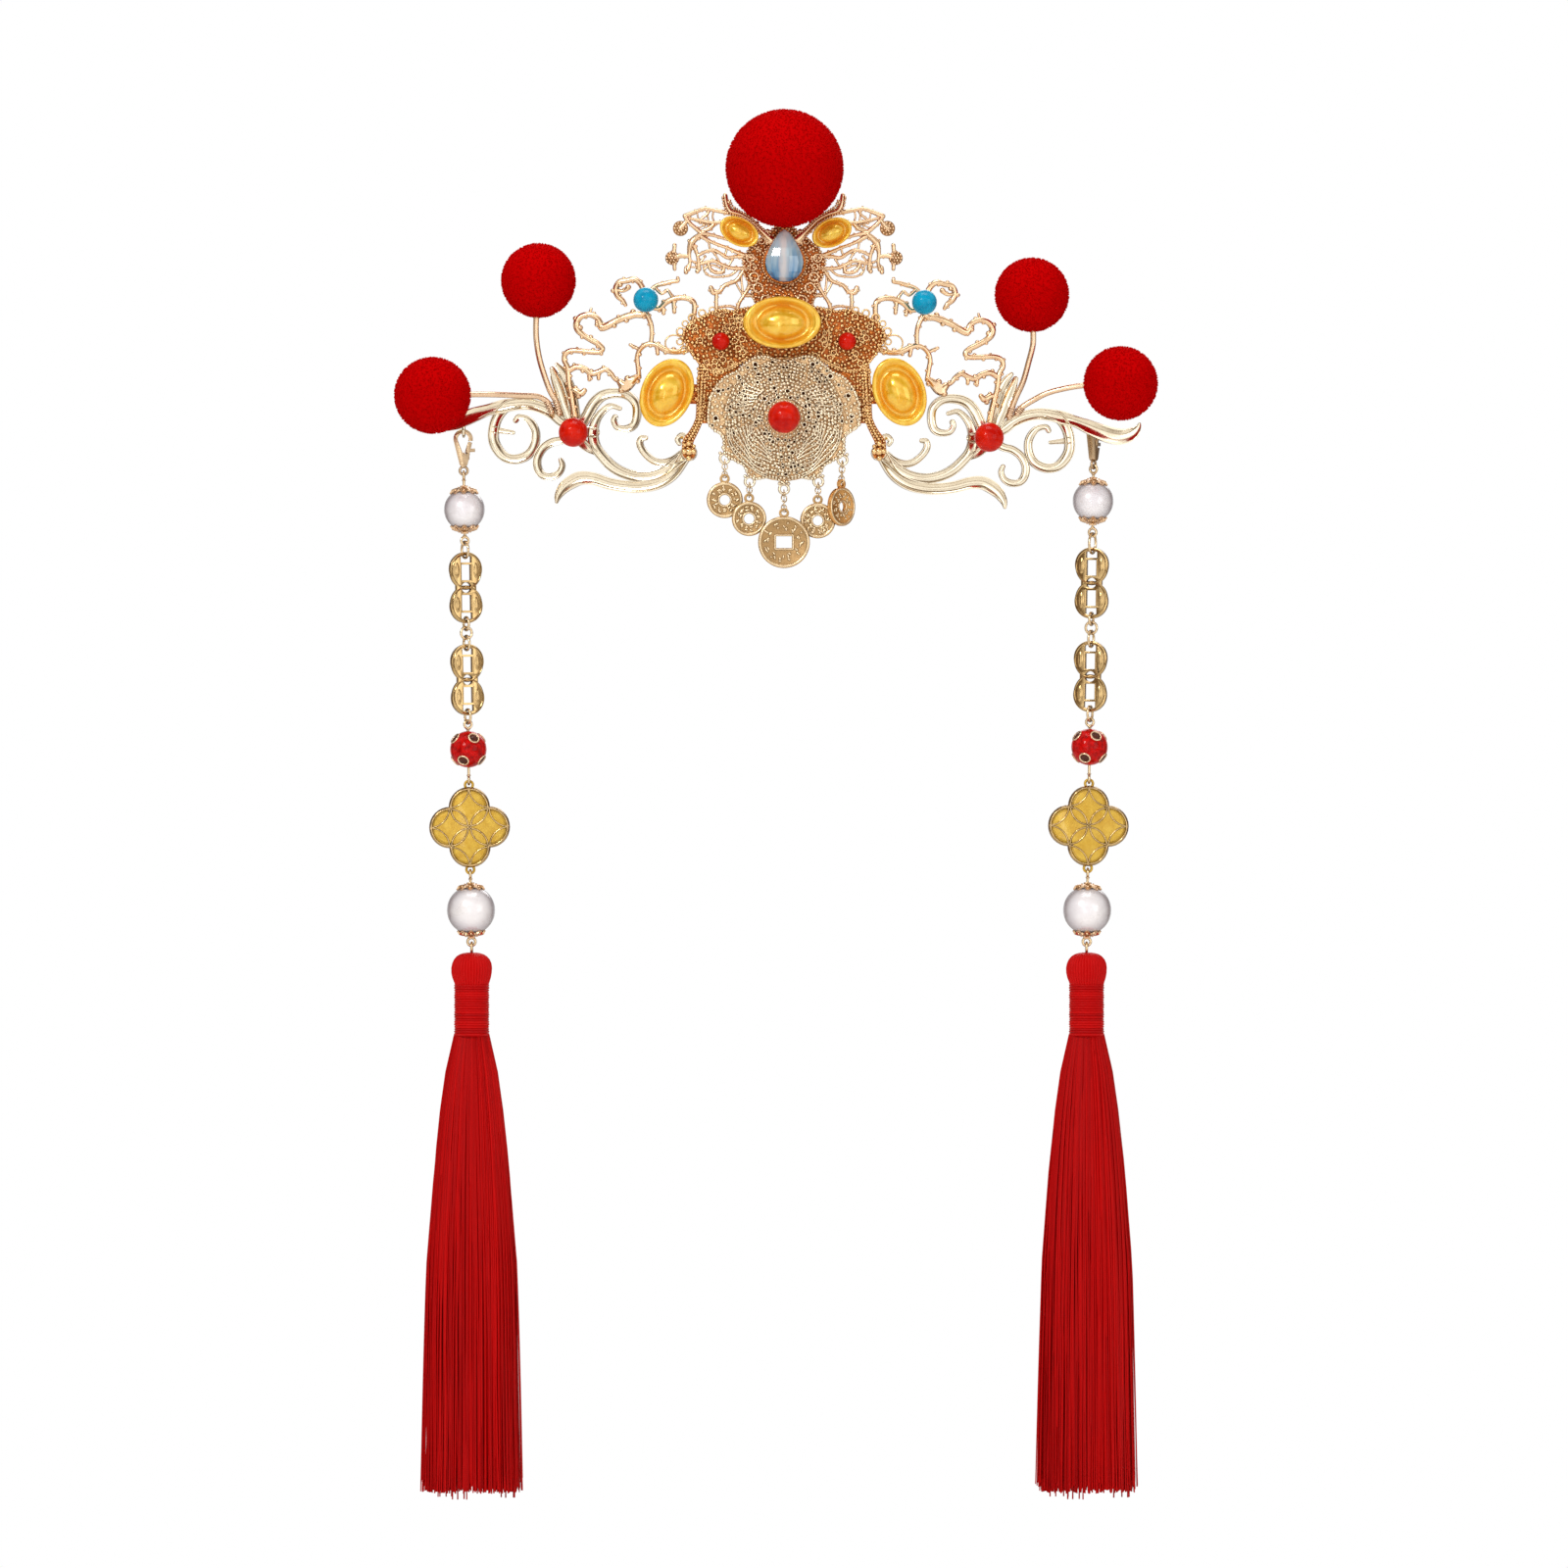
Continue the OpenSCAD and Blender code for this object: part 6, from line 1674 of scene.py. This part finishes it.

# %% [markdown]
# The stems are plain wire, soldered behind the wing. Where two of them meet, a short coil
# of thinner wire is wound round each foot.

# %% Stems
stem_routes = {
    "left": (
        [
            (-57.4, 8, -5.2), (-58.4, 8, -2), (-59.8, 7.8, 0.5), (-61.3, 7.5, 4.5), (-62.6, 7.2, 9), (-63.3, 7, 13.6),
            (-63.4, 7, 17.77), (-63.05, 7, 24.06),
        ],
        [
            (-59.4, 8.4, -4.8), (-60.6, 8.2, -2.2), (-63, 7.6, -0.9), (-67, 6.6, -0.7), (-72.5, 5.4, -0.5),
            (-78.3, 4.67, -0.45), (-85.3, 4.26, -0.6),
        ],
    ),
    "right": (
        [
            (57.6, 8, -6.2), (58.4, 8, -3.6), (59.4, 7.8, -1), (61.2, 7.5, 3), (62.6, 7.2, 8), (63.5, 7, 11.5),
            (63.74, 7, 14.1), (63.54, 7, 20.5),
        ],
        [
            (59.6, 8.3, -5.2), (60.8, 8, -3.7), (63.6, 7.4, -1.9), (68, 6.2, 0.2), (75.05, 4.88, 1.69),
            (81.52, 4.36, 2.08),
        ],
    ),
}


def helix(start, end, turns):
    """A short coil of wire round the line from start to end."""
    start, axis = Vector(start), Vector(end) - Vector(start)
    across, steps = facing(axis), turns * 10
    rows = []
    for i in range(steps + 1):
        a = tau * i / 10
        rows.append((*(start + axis * i / steps + across @ Vector((0.92 * cos(a), 0.92 * sin(a), 0))), 0.36))
    return rows


for side, (upper, outer) in stem_routes.items():
    stems = swept([[(*row, 1.5) for row in route] for route in (upper, outer)], wire, 6)
    coils = swept([helix(*upper[:2], 5), helix(*outer[:2], 4)], fine_wire, 1)
    feet = [ball(0.8, route[0], 16) for route in (upper, outer)]
    finish(join([stems, coils, *feet]), f"stems_{side}_wire", pale_rose, 60)

# %% [markdown]
# ## The comb at the back
#
# The comb is hidden when the crown is worn. It is bent from one strip of plated steel.
# The frame's shape is kept, and its edges are rounded so that it doesn't catch on hair.

# %% Comb
finish(bevelled("hair_comb", 0.28, 3, 50), "hair_comb_bent", steel, 40)

# %% [markdown]
# ## Hanging coins
#
# Five small coins hang under the medallion. They are stamped thin and have a raised rim,
# a round or square hole with its own rim, and worn marks between. The marks here are
# plain bars and dots laid out in a ring, like any worn old coin. The frame's blank gets
# soft edges; rims and marks are laid on both faces.

# %% Coins
# Each coin has its x, z, diameter, y, turn, and its hole's diameter, or 0 for a window.
coins = [
    (-15.1, -27.6, 9.2, -1.9, 0, 2.6), (-8.9, -32.4, 8.8, -3.2, 0, 2.6), (0, -38.4, 13.2, -4.5, 0, 0),
    (8.6, -32.9, 9, -3.2, 0, 2.5), (14.6, -29.3, 9.9, -3.2, 50, 2.4),
]
window = [(-2.3, -1.8, 0.5), (2.3, -1.8, 0.5), (2.3, 1.8, 0.5), (-2.3, 1.8, 0.5)]
STARRED, BURNT = 3, 4
for i, (x, z, diameter, y, turn, hole) in enumerate(coins):
    node, field = f"coin_{i + 1}", burnt_gold if i == BURNT else coin_field
    finish(bevelled(node, 0.08, 2, 40), node + "_blank", field, 45)
    chance = random.Random(i)
    edge, hole_rim = diameter / 2 - 0.9, (hole / 2 + 0.45 if hole else 2.7)
    marks = []
    for k in range(12):
        for _ in range(3):
            r = (edge + hole_rim) / 2 + chance.uniform(-0.35, 0.35) * (edge - hole_rim - 0.3)
            a = tau * k / 12 + 0.2 * i + chance.uniform(-0.12, 0.12)
            laid = at(r * cos(a), r * sin(a), 0.4) @ Matrix.Rotation(chance.choice((0, 0.8, 1.57)) + a, 4, "Z")
            marks.append(laid @ Matrix.Diagonal((chance.uniform(0.8, 1.9), 0.75, 0.6, 1)))
    parts = [scattered(ball(0.42), marks), ring(diameter / 2 - 0.45, 0.75, (0, 0, 0.32), 0, 0, 56)]
    if hole:
        parts.append(ring(hole / 2 + 0.3, 0.5, (0, 0, 0.38), 0, 0, 28))
    else:
        sides = [list(ends) for ends in zip(window, window[1:] + window[:1])]
        parts.append(place(swept(sides, wire, 1), at(0, 0, 0.38)))
    if i == STARRED:
        for across, up in around_circle(5, 2.9, pi / 2):
            parts.append(ring(0.85, 0.45, (across, up, 0.35), 0, 0, 20))
    face = join(parts)
    back = place(copy_of(face), turn_by(180, "Y"))
    eye = ring(0.95, 0.62, (0, diameter / 2 + 0.8, 0), 0, 0, 20)
    relief = place(join([face, back, eye]), at(x, y, z) @ turn_by(turn, "Z") @ UPRIGHT)
    finish(relief, node + "_relief", brass, 60)

# %% [markdown]
# Each coin hangs by three or four jump rings. Neighbouring rings stand across each other,
# and the top one is hooked through an eye of the medallion.

# %% Chains of jump rings
links = []
for (eye_x, eye_z), (x, z, diameter, y, turn, hole) in zip(coin_eyes, coins):
    top = Vector((eye_x, BORDER_Y, eye_z - 0.55))
    run = Vector((x, y, z + diameter / 2 + 0.8 + 0.6)) - top
    count = 2 + round(run.length / 2.6)
    for k in range(count):
        link = ring(1.0, 0.42, turn=20 if k % 2 else 90, sides=22)
        link.data.transform(Matrix.Diagonal((0.72, 0.72, run.length / count / 2 + 0.32, 1)))
        links.append(place(link, at(*(top + run * (k + 0.5) / count)) @ facing(run, "-Z")))
finish(join(links), "coin_chains_rings", brass, 60)

# %% [markdown]
# ## The floor
#
# The crown is photographed on white paper. A pale disc lies well below the tassels.

# %% Floor and finish
put_away(wire, fine_wire, strand)
bpy.ops.mesh.primitive_circle_add(vertices=96, radius=1.1, fill_type="NGON", location=(0, 0, -0.42))
floor = bpy.context.object
floor.name = "floor"
paper, tree, shader = new_material("white paper")
fibres = mix_in(tree, noise_in(tree, 40, 3), (0.86, 0.86, 0.85), (0.9, 0.9, 0.89))
set_inputs(tree, shader, {"Base Color": fibres, "Roughness": 0.7})
floor.data.materials.append(paper)
